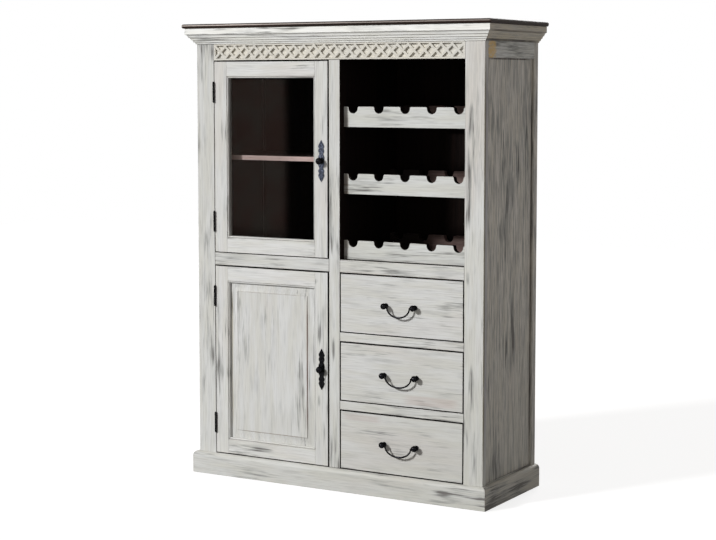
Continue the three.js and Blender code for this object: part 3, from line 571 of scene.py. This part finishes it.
RACK_PAINT = painted(
    "rack", ALONG_X, 0.35, 171.0, (207, 208, 204), spots=RACK_SPOTS, marks=RACK_POST_SHADOW, blush=0.1
)
DRAWER_PAINT = painted(
    "drawer", ALONG_X, 0.6, 110.0, (208, 208, 205), spots=DRAWER_SPOTS, marks=DRAWER_MARKS
)
# The cornice front's paint is paler than the rest: painted light that makes up for the shade on its sloping
# bands
CORNICE_LIGHTENED_PAINT = painted("cornice", ALONG_X, -0.6, 130.0, (246, 246, 242), 0.15, blush=0.0, lined=0.3)
CORNICE_SIDE_PAINT = painted(
    "cornice_side", ALONG_Y, 1.3, 140.0, (200, 191, 174), 0.6, line=(70, 58, 44),
    marks=CORNICE_SIDE_SHADOW_LINES,
)
DOOR_PAINT = painted("door", ALONG_Z, 0.55, 80.0, (213, 213, 210), 0.2, DOOR_SPOTS, marks=DOOR_MARKS)
PANEL_PAINT = painted("panel", ALONG_Z, 0.45, 85.0, (209, 209, 206), 0.2, DOOR_SPOTS, marks=PANEL_FIELD_SHADE_LINES)
DOOR_RAIL_PAINT = painted(
    "door_rail", ALONG_X, 0.4, 90.0, (217, 217, 214), 0.2, DOOR_RAIL_SPOTS, marks=DOOR_MARKS
)
IVORY = carved_paint()
# Painted highlight along the top board's rounded nose
TOP_HIGHLIGHT_BAND = (TOP_LOW.z + 6.8 * MM, TOP_HIGH.z - 3.0 * MM)
TOP_STAIN = stained("dark_stain", ALONG_X, (30, 22, 18), (50, 38, 32), 0.5, gloss=0.07, highlight_band=TOP_HIGHLIGHT_BAND)
INNER = {
    grain: stained("inner_stain_" + word, grain, (14, 9, 8), (26, 17, 14), 0.75, seed, 0.06)
    for grain, word, seed in ((ALONG_X, "across", 3.0), (ALONG_Y, "deep", 13.0), (ALONG_Z, "upright", 23.0))
}
# Rear rack rails: their light tones are painted light on their lit right part, and their left part gets
# painted shade
REAR_RAIL_LIT_AND_SHADED_STAIN = stained(
    "rack_stain_lit_and_shaded", ALONG_X, (112, 92, 88), (152, 130, 124), 0.6, 7.0, 0.1, painted_shade_span=(0.13, 0.19)
)
BACK_STAIN = stained("back_stain", ALONG_Z, (60, 44, 34), (94, 72, 56), 0.7, 31.0)
SHELF_WOOD = stained("shelf_wood", ALONG_X, (206, 178, 172), (232, 208, 202), 0.6, 17.0)
BARE = {
    grain: stained("bare_wood_" + word, grain, (128, 96, 70), (168, 134, 102), 0.7, seed)
    for grain, word, seed in ((ALONG_X, "across", 2.0), (ALONG_Y, "deep", 12.0))
}
IRON = forged_iron("black_iron", (14, 14, 16), (30, 30, 33), 0.3)
PLATE_IRON = forged_iron("plate_iron", (58, 62, 74), (92, 98, 114), 0.35, rim=0.85)
GLASS = window_glass()


def placed(name, data):
    """A new object in the scene."""
    thing = bpy.data.objects.new(name, data)
    bpy.context.scene.collection.objects.link(thing)
    return thing


def meshed(name, bm, materials):
    """A new object with a mesh of its own."""
    mesh = bpy.data.meshes.new(name)
    bm.to_mesh(mesh)
    bm.free()
    for material in materials:
        mesh.materials.append(material)
    return placed(name, mesh)


def cad_solid(node, whole_faces=True):
    """A CAD node's solid with its points joined and its flat faces whole."""
    bm = bmesh.new()
    bm.from_mesh(frame["nodes"][node].data)
    bmesh.ops.remove_doubles(bm, verts=bm.verts, dist=WELD)
    if whole_faces:
        bmesh.ops.dissolve_limit(bm, angle_limit=FLAT_ANGLE, verts=bm.verts, edges=bm.edges)
    return bm


def never(face):
    return False


def all_but_front(face):
    return face.normal.y > -FACING


def bounded_inside(face):
    """True for a face that looks into the cabinet."""
    middle = face.calc_center_median()
    within = abs(middle.x) < INNER_X + 0.5 * MM
    behind = middle.y > FRONT_Y + 0.5 * MM
    return within and behind and all_but_front(face)


def frieze_inside(face):
    """True for the back and the underside of the frieze rail."""
    middle = face.calc_center_median()
    below = face.normal.z < -FACING and middle.z < FRIEZE_BOTTOM + 1.0 * MM
    return face.normal.y > FACING or below


def shown(name, bm, materials, node, arris=0.0, second=never):
    """Shows a mesh in place of a CAD node, with its outer edges eased by the arris.

    Faces that pass the test have the second material."""
    bmesh.ops.recalc_face_normals(bm, faces=bm.faces)
    bm.normal_update()
    for face in bm.faces:
        face.material_index = int(second(face))
    piece = meshed(name, bm, materials)
    piece.data.shade_smooth()
    piece.data.set_sharp_from_angle(angle=CREASE_ANGLE)
    if arris:
        bevel = piece.modifiers.new("arris", "BEVEL")
        bevel.width = arris
        bevel.segments = 2
        bevel.limit_method = "ANGLE"
        bevel.angle_limit = CREASE_ANGLE
        bevel.harden_normals = True
    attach(piece, frame["nodes"][node]["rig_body"])
    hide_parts(node)
    return piece


def slab(bm, low, high):
    """A closed box between two corners."""
    xs, ys, zs = zip(low, high)
    corners = [bm.verts.new((x, y, z)) for z in zs for y in ys for x in xs]
    sides = [(0, 2, 3, 1), (4, 5, 7, 6), (0, 1, 5, 4), (2, 6, 7, 3), (0, 4, 6, 2), (1, 3, 7, 5)]
    for side in sides:
        bm.faces.new([corners[i] for i in side])


def skin(bm, rings):
    """Joins rings of points into a closed solid. A ring of one point is a pole."""
    for low, high in zip(rings, rings[1:]):
        count = max(len(low), len(high))
        for i in range(count):
            j = (i + 1) % count
            corners = [low[i % len(low)], low[j % len(low)], high[j % len(high)], high[i % len(high)]]
            bm.faces.new(list(dict.fromkeys(corners)))
    for end in (rings[0], rings[-1][::-1]):
        if len(end) > 1:
            bm.faces.new(end)


def prism(bm, outline, axis, start, end):
    """A closed prism over a flat outline, along an axis."""
    skin(bm, [
        [bm.verts.new((*point[:axis], depth, *point[axis:])) for point in outline]
        for depth in (start, end)
    ])


def turned(bm, profile, place, toward, segments):
    """A turned shape from [radius, rise] points that start and end on its axis."""
    turn = Vector(toward).to_track_quat("Z", "Y").to_matrix()
    rings = []
    for radius, rise in profile:
        count = segments if radius else 1
        ring = []
        for i in range(count):
            angle = 2 * math.pi * i / count
            point = Vector((radius * math.cos(angle), radius * math.sin(angle), rise))
            ring.append(bm.verts.new(Vector(place) + turn @ point))
        rings.append(ring)
    skin(bm, rings)


def tube(bm, centres, radii, sides=14):
    """A closed round bar along a line of centres."""
    rings = []
    normal = Vector((0, 1, 0))
    for i, centre in enumerate(centres):
        before = centres[max(i - 1, 0)]
        after = centres[min(i + 1, len(centres) - 1)]
        along = (after - before).normalized()
        normal = (normal - along * normal.dot(along)).normalized()
        across = along.cross(normal)
        ring = []
        for k in range(sides):
            angle = 2 * math.pi * k / sides
            spoke = math.cos(angle) * normal + math.sin(angle) * across
            ring.append(bm.verts.new(centre + radii[i] * spoke))
        rings.append(ring)
    skin(bm, rings)


def arc(centre, radius, start, end, steps):
    """Points of an arc in a flat outline, angles in radians."""
    angles = [start + (end - start) * i / steps for i in range(steps + 1)]
    return [(centre[0] + radius * math.cos(a), centre[1] + radius * math.sin(a)) for a in angles]


def bend(start, control, end, steps):
    """Points of a quadratic curve after its start."""
    return [
        tuple((1 - t) ** 2 * a + 2 * t * (1 - t) * b + t ** 2 * c for a, b, c in zip(start, control, end))
        for t in [i / steps for i in range(1, steps + 1)]
    ]


def spline(points, steps):
    """Points of a smooth curve through the given ones."""
    padded = [points[0], *points, points[-1]]
    curve = []
    for stretch in zip(padded, padded[1:], padded[2:], padded[3:]):
        for k in range(steps):
            t = k / steps
            curve.append(tuple(
                0.5 * (2 * b + (c - a) * t + (2 * a - 5 * b + 4 * c - d) * t ** 2
                       + (3 * b - a - 3 * c + d) * t ** 3)
                for a, b, c, d in zip(*stretch)
            ))
    return curve + [points[-1]]


def board(node, materials, inside=bounded_inside, arris=PAINT_ARRIS, whole_faces=True):
    """A flat-sided CAD piece with eased edges, painted outside and stained where it looks inward."""
    shown(node + "_board", cad_solid(node, whole_faces), materials, node, arris, inside)


def make_casing():
    for word in ("left", "right"):
        board("front_post_" + word, [PAINT[ALONG_Z], INNER[ALONG_Z]])
        board("back_post_" + word, [SIDE_PAINT, INNER[ALONG_Z]])
        board("side_rail_" + word, [PAINT[ALONG_Y], INNER[ALONG_Y]])
        board("side_panel_" + word, [SIDE_PAINT, INNER[ALONG_Z]])
        board("plinth_" + word, [SIDE_PLINTH_PAINT], never)
    board("plinth_front", [PAINT[ALONG_X]], never)
    board("center_post", [PAINT[ALONG_Z], INNER[ALONG_Z]])
    board("mid_rail", [PAINT[ALONG_X], INNER[ALONG_X]])
    board("frieze_rail", [IVORY, INNER[ALONG_X]], frieze_inside, CARVED_ARRIS, False)


def make_bottom_board():
    """Stained inside, with painted ends that show outside."""
    cut = INNER_X + 7 * MM
    bm = cad_solid("bottom_board")
    for side in (-1, 1):
        bmesh.ops.bisect_plane(
            bm, geom=bm.verts[:] + bm.edges[:] + bm.faces[:], dist=WELD,
            plane_co=(side * cut, 0, 0), plane_no=(side, 0, 0),
        )

    def outside(face):
        return abs(face.calc_center_median().x) > cut
    shown(
        "bottom_board_board", bm, [INNER[ALONG_X], PAINT[ALONG_Y]],
        "bottom_board", WOOD_ARRIS, outside,
    )


def make_inner_boards():
    board("mid_board", [INNER[ALONG_X]], never, WOOD_ARRIS)
    board("partition", [INNER[ALONG_Z]], never, WOOD_ARRIS)
    board("shelf", [SHELF_WOOD, INNER[ALONG_X]], all_but_front, WOOD_ARRIS)
    make_bottom_board()


def make_back_panel():
    """Matched boards with V joints, dull outside and dark inside."""
    count = 9
    groove = 2.2 * MM
    overlap = 0.25 * MM
    low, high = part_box("back_panel")
    low.x -= overlap
    high.x += overlap
    width = (high.x - low.x) / count
    outline = [(low.x, low.y), (high.x, low.y), (high.x, high.y)]
    for i in range(count - 1, 0, -1):
        joint = low.x + i * width
        outline += [(joint + groove, high.y), (joint, high.y - groove), (joint - groove, high.y)]
    outline.append((low.x, high.y))
    bm = bmesh.new()
    prism(bm, outline, ALONG_Z, low.z, high.z)

    def inside(face):
        return face.calc_center_median().y <= high.y - 2 * groove
    materials = [BACK_STAIN, INNER[ALONG_Z]]
    shown("back_boards", bm, materials, "back_panel", BACK_ARRIS, inside)


def make_top():
    """Top board with a rounded nose on its front and ends, square at the back."""
    radius = 5.5 * MM
    steps = 7
    section = arc((radius, TOP_LOW.z + radius), radius, 3 * QUARTER, math.pi, steps)
    section += arc((radius, TOP_HIGH.z - radius), radius, math.pi, QUARTER, steps)
    bm = bmesh.new()
    rings = []
    for inset, z in section:
        left = TOP_LOW.x + inset
        right = TOP_HIGH.x - inset
        front = TOP_LOW.y + inset
        corners = ((left, TOP_HIGH.y), (left, front), (right, front), (right, TOP_HIGH.y))
        rings.append([bm.verts.new((x, y, z)) for x, y in corners])
    skin(bm, rings)
    shown("top_board", bm, [TOP_STAIN], "top_panel")


# Cornice steps as shares of its projection and height: each starts, bends and ends, from the foot up
CORNICE_STEPS = (
    ((0.1, 0.0), (0.13, 0.04), (0.14, 0.1)),
    ((0.27, 0.115), (0.31, 0.16), (0.35, 0.24)),
    ((0.48, 0.255), (0.51, 0.32), (0.57, 0.4)),
    ((0.7, 0.415), (0.73, 0.5), (0.86, 0.6)),
)
CORNICE_FASCIA_SHARE = 0.615


def cornice_profile():
    """[outward, height] points of the cornice's section."""
    low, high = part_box("cornice")
    reach = high.x - BODY_X
    rise = high.z - low.z
    gap = 0.3 * MM

    def at(shares):
        return (shares[0] * reach, low.z + shares[1] * rise)
    points = [(gap, low.z)]
    for start, middle, end in CORNICE_STEPS:
        points.append(at(start))
        points += bend(at(start), at(middle), at(end), 5)
    return points + [at((1, CORNICE_FASCIA_SHARE)), at((1, 1)), (gap, high.z)]


def make_cornice():
    """Three mitred lengths of moulding round the front and both sides.

    Each runs between two stations, a corner of the body and the way outward there."""
    profile = cornice_profile()
    left = (-BODY_X, FRONT_Y, -1, -1)
    right = (BODY_X, FRONT_Y, 1, -1)
    front_left = (-BODY_X + FINE, FRONT_Y, -1, -1)
    front_right = (BODY_X - FINE, FRONT_Y, 1, -1)
    runs = (
        ("cornice_front", CORNICE_LIGHTENED_PAINT, (front_left, front_right)),
        ("cornice_left", CORNICE_SIDE_PAINT, ((-BODY_X, BACK_Y, -1, 0), left)),
        ("cornice_right", CORNICE_SIDE_PAINT, (right, (BODY_X, BACK_Y, 1, 0))),
    )
    for name, paint, stations in runs:
        bm = bmesh.new()
        skin(bm, [
            [bm.verts.new((x + out * out_x, y + out * out_y, z)) for out, z in profile]
            for x, y, out_x, out_y in stations
        ])
        shown(name, bm, [paint], "cornice", MOULDING_ARRIS)


def make_dividers():
    """Front rails of the drawer bays, with their dust boards and guides."""
    rail_depth = 22 * MM
    rail_fit = 0.3 * MM
    drawer_play = 2.5 * MM
    board_thick = 12 * MM
    guide_width = 20 * MM
    for number in ("1", "2"):
        node = "drawer_divider_" + number
        low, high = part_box(node)
        board_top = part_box("drawer_front_" + number)[0].z - drawer_play
        inner_y = FRONT_Y + rail_depth
        rail = bmesh.new()
        slab(rail, (low.x, FRONT_Y, low.z), (BAY_OUTER_X - rail_fit, inner_y, board_top))
        materials = [PAINT[ALONG_X], INNER[ALONG_X]]
        shown(node + "_rail", rail, materials, node, PAINT_ARRIS, all_but_front)
        rest = bmesh.new()
        back_y = inner_y + FINE
        guide_x = BAY_OUTER_X - drawer_play
        slab(rest, (low.x, back_y, board_top - board_thick), (high.x, high.y, board_top))
        slab(rest, (guide_x, back_y, board_top + FINE), (guide_x + guide_width, high.y, high.z))
        shown(node + "_dust_board", rest, [BARE[ALONG_X]], node, WOOD_ARRIS)


def rack_outline(left, right, bottom, top, centres, notch, lip):
    """[x, z] points round a notched rack rail."""
    level = top - lip
    outline = [(left, bottom), (right, bottom), (right, top)]
    for x in reversed(centres):
        reach = notch + lip
        outline += arc((x + reach, level), lip, QUARTER, math.pi, 6)
        outline += arc((x, level), notch, 0, -math.pi, 20)[1:]
        outline += arc((x - reach, level), lip, 0, QUARTER, 6)[1:]
    outline.append((left, top))
    return outline


def make_racks():
    """Notched rails on battens: the front rails are painted on their faces only."""
    notch = 16.5 * MM
    lip = 5 * MM
    pitch = 93.8 * MM
    thick = 20 * MM
    batten_width = 18 * MM
    batten_height = 38 * MM
    foot_fit = 0.2 * MM
    centre = (BAY_OUTER_X + BAY_INNER_X) / 2
    centres = [centre + i * pitch for i in range(-2, 3)]
    for node in ("rack_1", "rack_2", "rack_3"):
        low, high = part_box(node)
        front_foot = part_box("mid_rail")[1].z + foot_fit if node == "rack_1" else low.z
        for word, y, foot, materials in (
            ("front", low.y, front_foot, [RACK_PAINT, INNER[ALONG_X]]),
            ("rear", high.y - thick, low.z, [REAR_RAIL_LIT_AND_SHADED_STAIN, REAR_RAIL_LIT_AND_SHADED_STAIN]),
        ):
            bm = bmesh.new()
            outline = rack_outline(low.x, high.x, foot, high.z, centres, notch, lip)
            prism(bm, outline, ALONG_Y, y, y + thick)
            name = node + "_" + word + "_rail"
            shown(name, bm, materials, node, THIN_ARRIS, all_but_front)
        bm = bmesh.new()
        front_y = low.y + thick + FINE
        rear_y = high.y - thick - FINE
        for x in (low.x, high.x - batten_width):
            slab(bm, (x, front_y, low.z), (x + batten_width, rear_y, low.z + batten_height))
        shown(node + "_battens", bm, [INNER[ALONG_Y]], node, WOOD_ARRIS)


def escutcheon_outline(centre, half):
    """[x, z] points round a lobed plate with pointed ends. Half is half its size."""
    up = spline([
        (1, 0), (1, 0.16), (0.88, 0.25), (0.62, 0.34), (0.9, 0.43), (0.97, 0.51),
        (0.74, 0.59), (0.97, 0.68), (0.78, 0.78), (0.3, 0.92), (0.0, 1.0),
    ], 4)
    over = up + [(-a, b) for a, b in reversed(up[:-1])]
    under = [(a, -b) for a, b in reversed(over[1:-1])]
    return [(centre.x + a * half.x, centre.z + b * half.z) for a, b in over + under]


def ball_profile(radius, rise, neck, steps):
    """[radius, rise] points of a ball's outline from its neck to its far pole."""
    start = math.pi - math.asin(neck / radius)
    angles = [start * (1 - i / steps) for i in range(steps)]
    points = [(radius * math.sin(a), rise + radius * math.cos(a)) for a in angles]
    return points + [(0, rise + radius)]


def make_door_furniture(body):
    """The plate and the turned knob of a door."""
    low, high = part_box(body + "_escutcheon")
    centre = (low + high) / 2
    half = (high - low) / 2
    plate = bmesh.new()
    prism(plate, escutcheon_outline(centre, half), ALONG_Y, low.y, high.y)
    iron = PLATE_IRON if body == "upper_door" else IRON
    shown(body + "_plate", plate, [iron], body + "_escutcheon", PLATE_ARRIS)

    knob_low, knob_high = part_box(body + "_knob")
    ball = 11 * MM
    neck = 5 * MM
    rise = knob_high.y - knob_low.y - ball
    knob = bmesh.new()
    turned(knob, [
        (0, 0), (9 * MM, 0), (9 * MM, 1.2 * MM), (8.2 * MM, 2.2 * MM), (6.2 * MM, 2.7 * MM),
        *ball_profile(ball, rise, neck, 16),
    ], (centre.x, knob_high.y, (knob_low.z + knob_high.z) / 2), (0, -1, 0), 40)
    shown(body + "_knob_ball", knob, [IRON], body + "_knob")


def make_hinge(node):
    """Five knuckles on a pin with ball ends, and the door's leaf."""
    low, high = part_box(node)
    radius = 3.2 * MM
    pin = 2.2 * MM
    axis_x = (low.x + high.x) / 2
    axis_y = low.y + 4 * MM
    finial = 5 * MM
    split = 0.6 * MM
    ease = 0.5 * MM
    count = 5
    length = high.z - low.z - 2 * finial
    size = length / count - split
    barrel = bmesh.new()
    for i in range(count):
        start = low.z + finial + i * length / count + split / 2
        turned(barrel, [
            (0, 0), (radius - ease, 0), (radius, ease),
            (radius, size - ease), (radius - ease, size), (0, size),
        ], (axis_x, axis_y, start), (0, 0, 1), 24)
    foot = (axis_x, axis_y, low.z + finial)
    turned(barrel, [(0, 0), (pin, 0), (pin, length), (0, length)], foot, (0, 0, 1), 16)
    for end, way in ((low.z + finial, -1), (high.z - finial, 1)):
        turned(barrel, [
            (0, 0), (3.4 * MM, 0), (3.4 * MM, 0.9 * MM), (2.2 * MM, 1.3 * MM),
            (2.9 * MM, 2.3 * MM), (2.9 * MM, 3.2 * MM), (2.0 * MM, 4.4 * MM), (0, finial),
        ], (axis_x, axis_y, end), (0, 0, way), 24)
    half_leaf = 0.7 * MM
    leaf_y = axis_y + radius * 0.4
    slab(barrel, (axis_x - half_leaf, leaf_y, low.z), (axis_x + half_leaf, high.y, high.z))
    shown(node + "_knuckles", barrel, [IRON], node)


def door_sections():
    """The flat's width, and sections as [across, back] points with whether each is mitred.

    The sections are a flat board, a quirked ovolo on its inner edge and a lip behind the infill."""
    flat = 48 * MM
    sight = 54 * MM
    quirk = 3.6 * MM
    groove = 46 * MM
    setback = 11 * MM
    infill = 15.6 * MM
    thick = 20 * MM
    quirk_side = flat + 1.1 * MM
    bead_top = 1.2 * MM
    bead = [(flat, quirk), (quirk_side, quirk)]
    bead += bend(bead[-1], (quirk_side, bead_top), (flat + 2.6 * MM, bead_top), 4)
    bead += bend(bead[-1], (sight, bead_top), (sight, 7 * MM), 8)
    bead += [(sight, setback), (flat, setback)]
    lip = [(flat, infill), (sight, infill), (sight, thick), (flat, thick)]
    face = [
        (0.0, 0.0), (flat, 0.0), (flat, setback), (groove, setback),
        (groove, infill), (flat, infill), (flat, thick), (0.0, thick),
    ]
    return flat, ((face, False), (bead, True), (lip, True))


def make_door_member(body, member, low, high):
    """A stile or rail. Stiles run past the rails, whose ends butt against them."""
    flat, sections = door_sections()
    upright = member.endswith("stile")
    from_high = member in ("lock_stile", "top_rail")
    right = high.x - LOCK_EASE
    top = high.z - TOP_EASE

    def at(across, back, mitred, end):
        """A point at the lower or upper end, pulled in along the mitre if there is one."""
        pulled = across if mitred else 0.0
        if upright:
            x = right - across if from_high else low.x + across
            return (x, low.y + back, top - pulled if end else low.z + pulled)
        inset = max(pulled, flat) + FINE
        z = top - across if from_high else low.z + across
        return (right - inset if end else low.x + inset, low.y + back, z)

    bm = bmesh.new()
    for section, mitred in sections:
        skin(bm, [
            [bm.verts.new(at(across, back, mitred, end)) for across, back in section]
            for end in (0, 1)
        ])
    outer = {"hinge_stile": low.x, "lock_stile": right, "top_rail": top, "bottom_rail": low.z}[member]

    def at_edge(face):
        middle = face.calc_center_median()
        outside = abs((middle.x if upright else middle.z) - outer) < FINE
        return outside or upright and min(abs(middle.z - low.z), abs(middle.z - top)) < FINE
    grain = ALONG_Z if upright else ALONG_X
    materials = [DOOR_PAINT if upright else DOOR_RAIL_PAINT, INNER[grain]]
    node = body + "_" + member
    shown(node + "_member", bm, materials, node, MOULDING_ARRIS, at_edge)


def make_door(body):
    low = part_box(body + "_hinge_stile")[0]
    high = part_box(body + "_lock_stile")[1]
    for member in ("hinge_stile", "lock_stile", "top_rail", "bottom_rail"):
        make_door_member(body, member, low, high)
    if body == "upper_door":
        pane = body + "_glass"
        shown(body + "_pane", cad_solid(pane), [GLASS], pane)
    else:
        board(body + "_panel", [PANEL_PAINT], never, arris=THIN_ARRIS)
    make_door_furniture(body)
    for place in ("lower", "upper"):
        make_hinge(body + "_" + place + "_hinge")


def bail_line(pitch, ball, inset, drop):
    """[x, z] centres of a bail's bar from pin to pin, measured from midway between the pins."""
    pin = pitch / 2 - inset
    start = pitch / 2 - ball
    lead = 1.5 * MM
    half = [(-pin, 0.0), (-start - lead, 0.0)]
    half += bend(half[-1], (-start + lead, 0.0), (-start + 2.2 * MM, -3 * MM), 6)
    steps = 18
    corners = [half[-1], (-0.95 * start, -0.56 * drop), (-0.52 * start, -drop), (0.0, -drop)]
    for i in range(1, steps + 1):
        t = i / steps
        weights = ((1 - t) ** 3, 3 * t * (1 - t) ** 2, 3 * t * t * (1 - t), t ** 3)
        half.append(tuple(sum(w * p[k] for w, p in zip(weights, corners)) for k in (0, 1)))
    return half + [(-x, z) for x, z in reversed(half[:-1])]


def make_handle(number):
    """Two turned posts and the bail that hangs between them, thicker in its middle."""
    ball = 9.8 * MM
    rise = 17 * MM
    neck = 5.5 * MM
    pin_inset = 4 * MM
    drop = 33 * MM
    thin = 2.1 * MM
    swell = 0.7 * MM
    centres = []
    for word in ("left", "right"):
        node = "handle_post_" + word + "_" + number
        low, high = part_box(node)
        centre = Vector(((low.x + high.x) / 2, high.y, (low.z + high.z) / 2))
        centres.append(centre)
        post = bmesh.new()
        turned(post, [
            (0, 0), (8 * MM, 0), (8 * MM, 1.4 * MM), (7.2 * MM, 2 * MM), (neck, 3.4 * MM),
            *ball_profile(ball, rise, neck, 14),
        ], centre, (0, -1, 0), 36)
        shown(node + "_turned", post, [IRON], node)
    left, right = centres
    middle = (left + right) / 2
    line = bail_line(right.x - left.x, ball, pin_inset, drop)
    points = [Vector((middle.x + x, middle.y - rise, middle.z + z)) for x, z in line]
    half_way = (len(points) - 1) / 2
    radii = [thin + swell * (1 - abs(i / half_way - 1)) ** 0.6 for i in range(len(points))]
    bail = bmesh.new()
    tube(bail, points, radii)
    shown("bail_bar_" + number, bail, [IRON], "bail_" + number)


def make_drawer_front(number):
    """A planed board with crisp dark edges, eased a little at its top and ends."""
    node = "drawer_front_" + number
    low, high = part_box(node)
    left_ease = 0.5 * MM
    right_ease = 0.3 * MM
    low.x += left_ease
    high.x -= right_ease
    high.z -= TOP_EASE
    bm = bmesh.new()
    slab(bm, low, high)
    materials = [DRAWER_PAINT, INNER[ALONG_X]]
    front = shown(node + "_board", bm, materials, node, FRONT_ARRIS, all_but_front)
    front.modifiers["arris"].material = 1


def fingered_end(end, sunk, low_z, high_z, stands_first):
    """Points up one end of a board that is cut into fingers."""
    count = 7
    step = (high_z - low_z) / count
    points = []
    for i in range(count):
        stands = (i % 2 == 0) == stands_first
        pull = FINE if stands else -FINE
        start = low_z + i * step + (pull if i else 0.0)
        stop = low_z + (i + 1) * step - (pull if i < count - 1 else 0.0)
        place = end if stands else sunk
        points += [(place, start), (place, stop)]
    return points


def make_drawer_box(number):
    """Four boards joined by fingers round a thin floor."""
    wall = 10 * MM
    floor_low = 2 * MM
    floor_high = 8 * MM
    inset = wall + FINE
    node = "drawer_box_" + number
    low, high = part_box(node)
    deep = (low.y, high.y)
    wide = (low.x, high.x)
    for name, across, start, ends, grain in (
        ("_left_side", ALONG_X, low.x, deep, ALONG_Y),
        ("_right_side", ALONG_X, high.x - wall, deep, ALONG_Y),
        ("_front", ALONG_Y, low.y, wide, ALONG_X),
        ("_back", ALONG_Y, high.y - wall, wide, ALONG_X),
    ):
        stands_first = across == ALONG_X
        up = fingered_end(ends[1], ends[1] - inset, low.z, high.z, stands_first)
        down = fingered_end(ends[0], ends[0] + inset, low.z, high.z, stands_first)
        bm = bmesh.new()
        prism(bm, up + down[::-1], across, start, start + wall)
        shown(node + name, bm, [BARE[grain]], node, BOX_ARRIS)
    floor = bmesh.new()
    floor_corner = (high.x - inset, high.y - inset, low.z + floor_high)
    slab(floor, (low.x + inset, low.y + inset, low.z + floor_low), floor_corner)
    shown(node + "_floor", floor, [BARE[ALONG_X]], node, BOX_ARRIS)


def make_floor():
    """A pale floor that keeps the shadow and shows white behind the cabinet."""
    s = Surface("floor")
    s.tree.nodes.remove(s.shader)
    diffuse = s.add("ShaderNodeBsdfDiffuse", {"Color": (FLOOR_GREY, FLOOR_GREY, FLOOR_GREY, 1)})
    strength = s.times(s.seen(), FLOOR_GLOW)
    glow = s.add("ShaderNodeEmission", {"Color": (1, 1, 1, 1), "Strength": strength})
    total = s.add("ShaderNodeAddShader", {0: diffuse.outputs[0], 1: glow.outputs[0]})
    s.fill(s.output, {0: total.outputs[0]})
    bm = bmesh.new()
    half = FLOOR_SIZE / 2
    bm.faces.new([bm.verts.new((x * half, y * half, 0)) for x, y in ((-1, -1), (1, -1), (1, 1), (-1, 1))])
    floor = meshed("floor", bm, [s.material])


def make_world():
    """White where it is seen, and a soft fill from all round where it lights."""
    world = bpy.data.worlds.new("studio")
    bpy.context.scene.world = world
    world.use_nodes = True
    nodes = Nodes(world.node_tree)
    seen = nodes.seen()
    background = nodes.add("ShaderNodeBackground", {
        "Color": nodes.mixed(seen, (*FILL_TINT, 1), (1, 1, 1, 1)),
        "Strength": nodes.ranged(seen, 0.0, 1.0, FILL_STRENGTH, 1.0, False),
    })
    nodes.add("ShaderNodeOutputWorld", {0: background.outputs[0]})


def make_lamp(name, azimuth, elevation, strength, softness):
    turn = math.radians(azimuth)
    lift = math.radians(elevation)
    toward = Vector((math.sin(turn) * math.cos(lift), -math.cos(turn) * math.cos(lift), math.sin(lift)))
    lamp = bpy.data.lights.new(name, "SUN")
    lamp.energy = strength
    lamp.angle = math.radians(softness)
    holder = placed(name, lamp)
    holder.rotation_mode = "QUATERNION"
    holder.rotation_quaternion = toward.to_track_quat("Z", "Y")


def make_camera():
    data = bpy.data.cameras.new("camera")
    data.lens = CAMERA_LENS
    data.shift_y = CAMERA_SHIFT
    camera = placed("camera", data)
    camera.location = CAMERA_PLACE
    camera.rotation_euler = (math.radians(90 - CAMERA_PITCH), 0, math.radians(CAMERA_TURN))
    bpy.context.scene.camera = camera


make_camera()
make_world()
make_lamp("key", KEY_AZIMUTH, KEY_ELEVATION, KEY_STRENGTH, KEY_SOFTNESS)
make_lamp("rear", REAR_AZIMUTH, REAR_ELEVATION, REAR_STRENGTH, REAR_SOFTNESS)
make_floor()
bpy.context.scene.view_settings.view_transform = "Standard"

make_casing()
make_inner_boards()
make_back_panel()
make_top()
make_cornice()
make_dividers()
make_racks()
for door_body in DOORS:
    make_door(door_body)
for drawer_number in ("1", "2", "3"):
    make_drawer_front(drawer_number)
    make_drawer_box(drawer_number)
    make_handle(drawer_number)
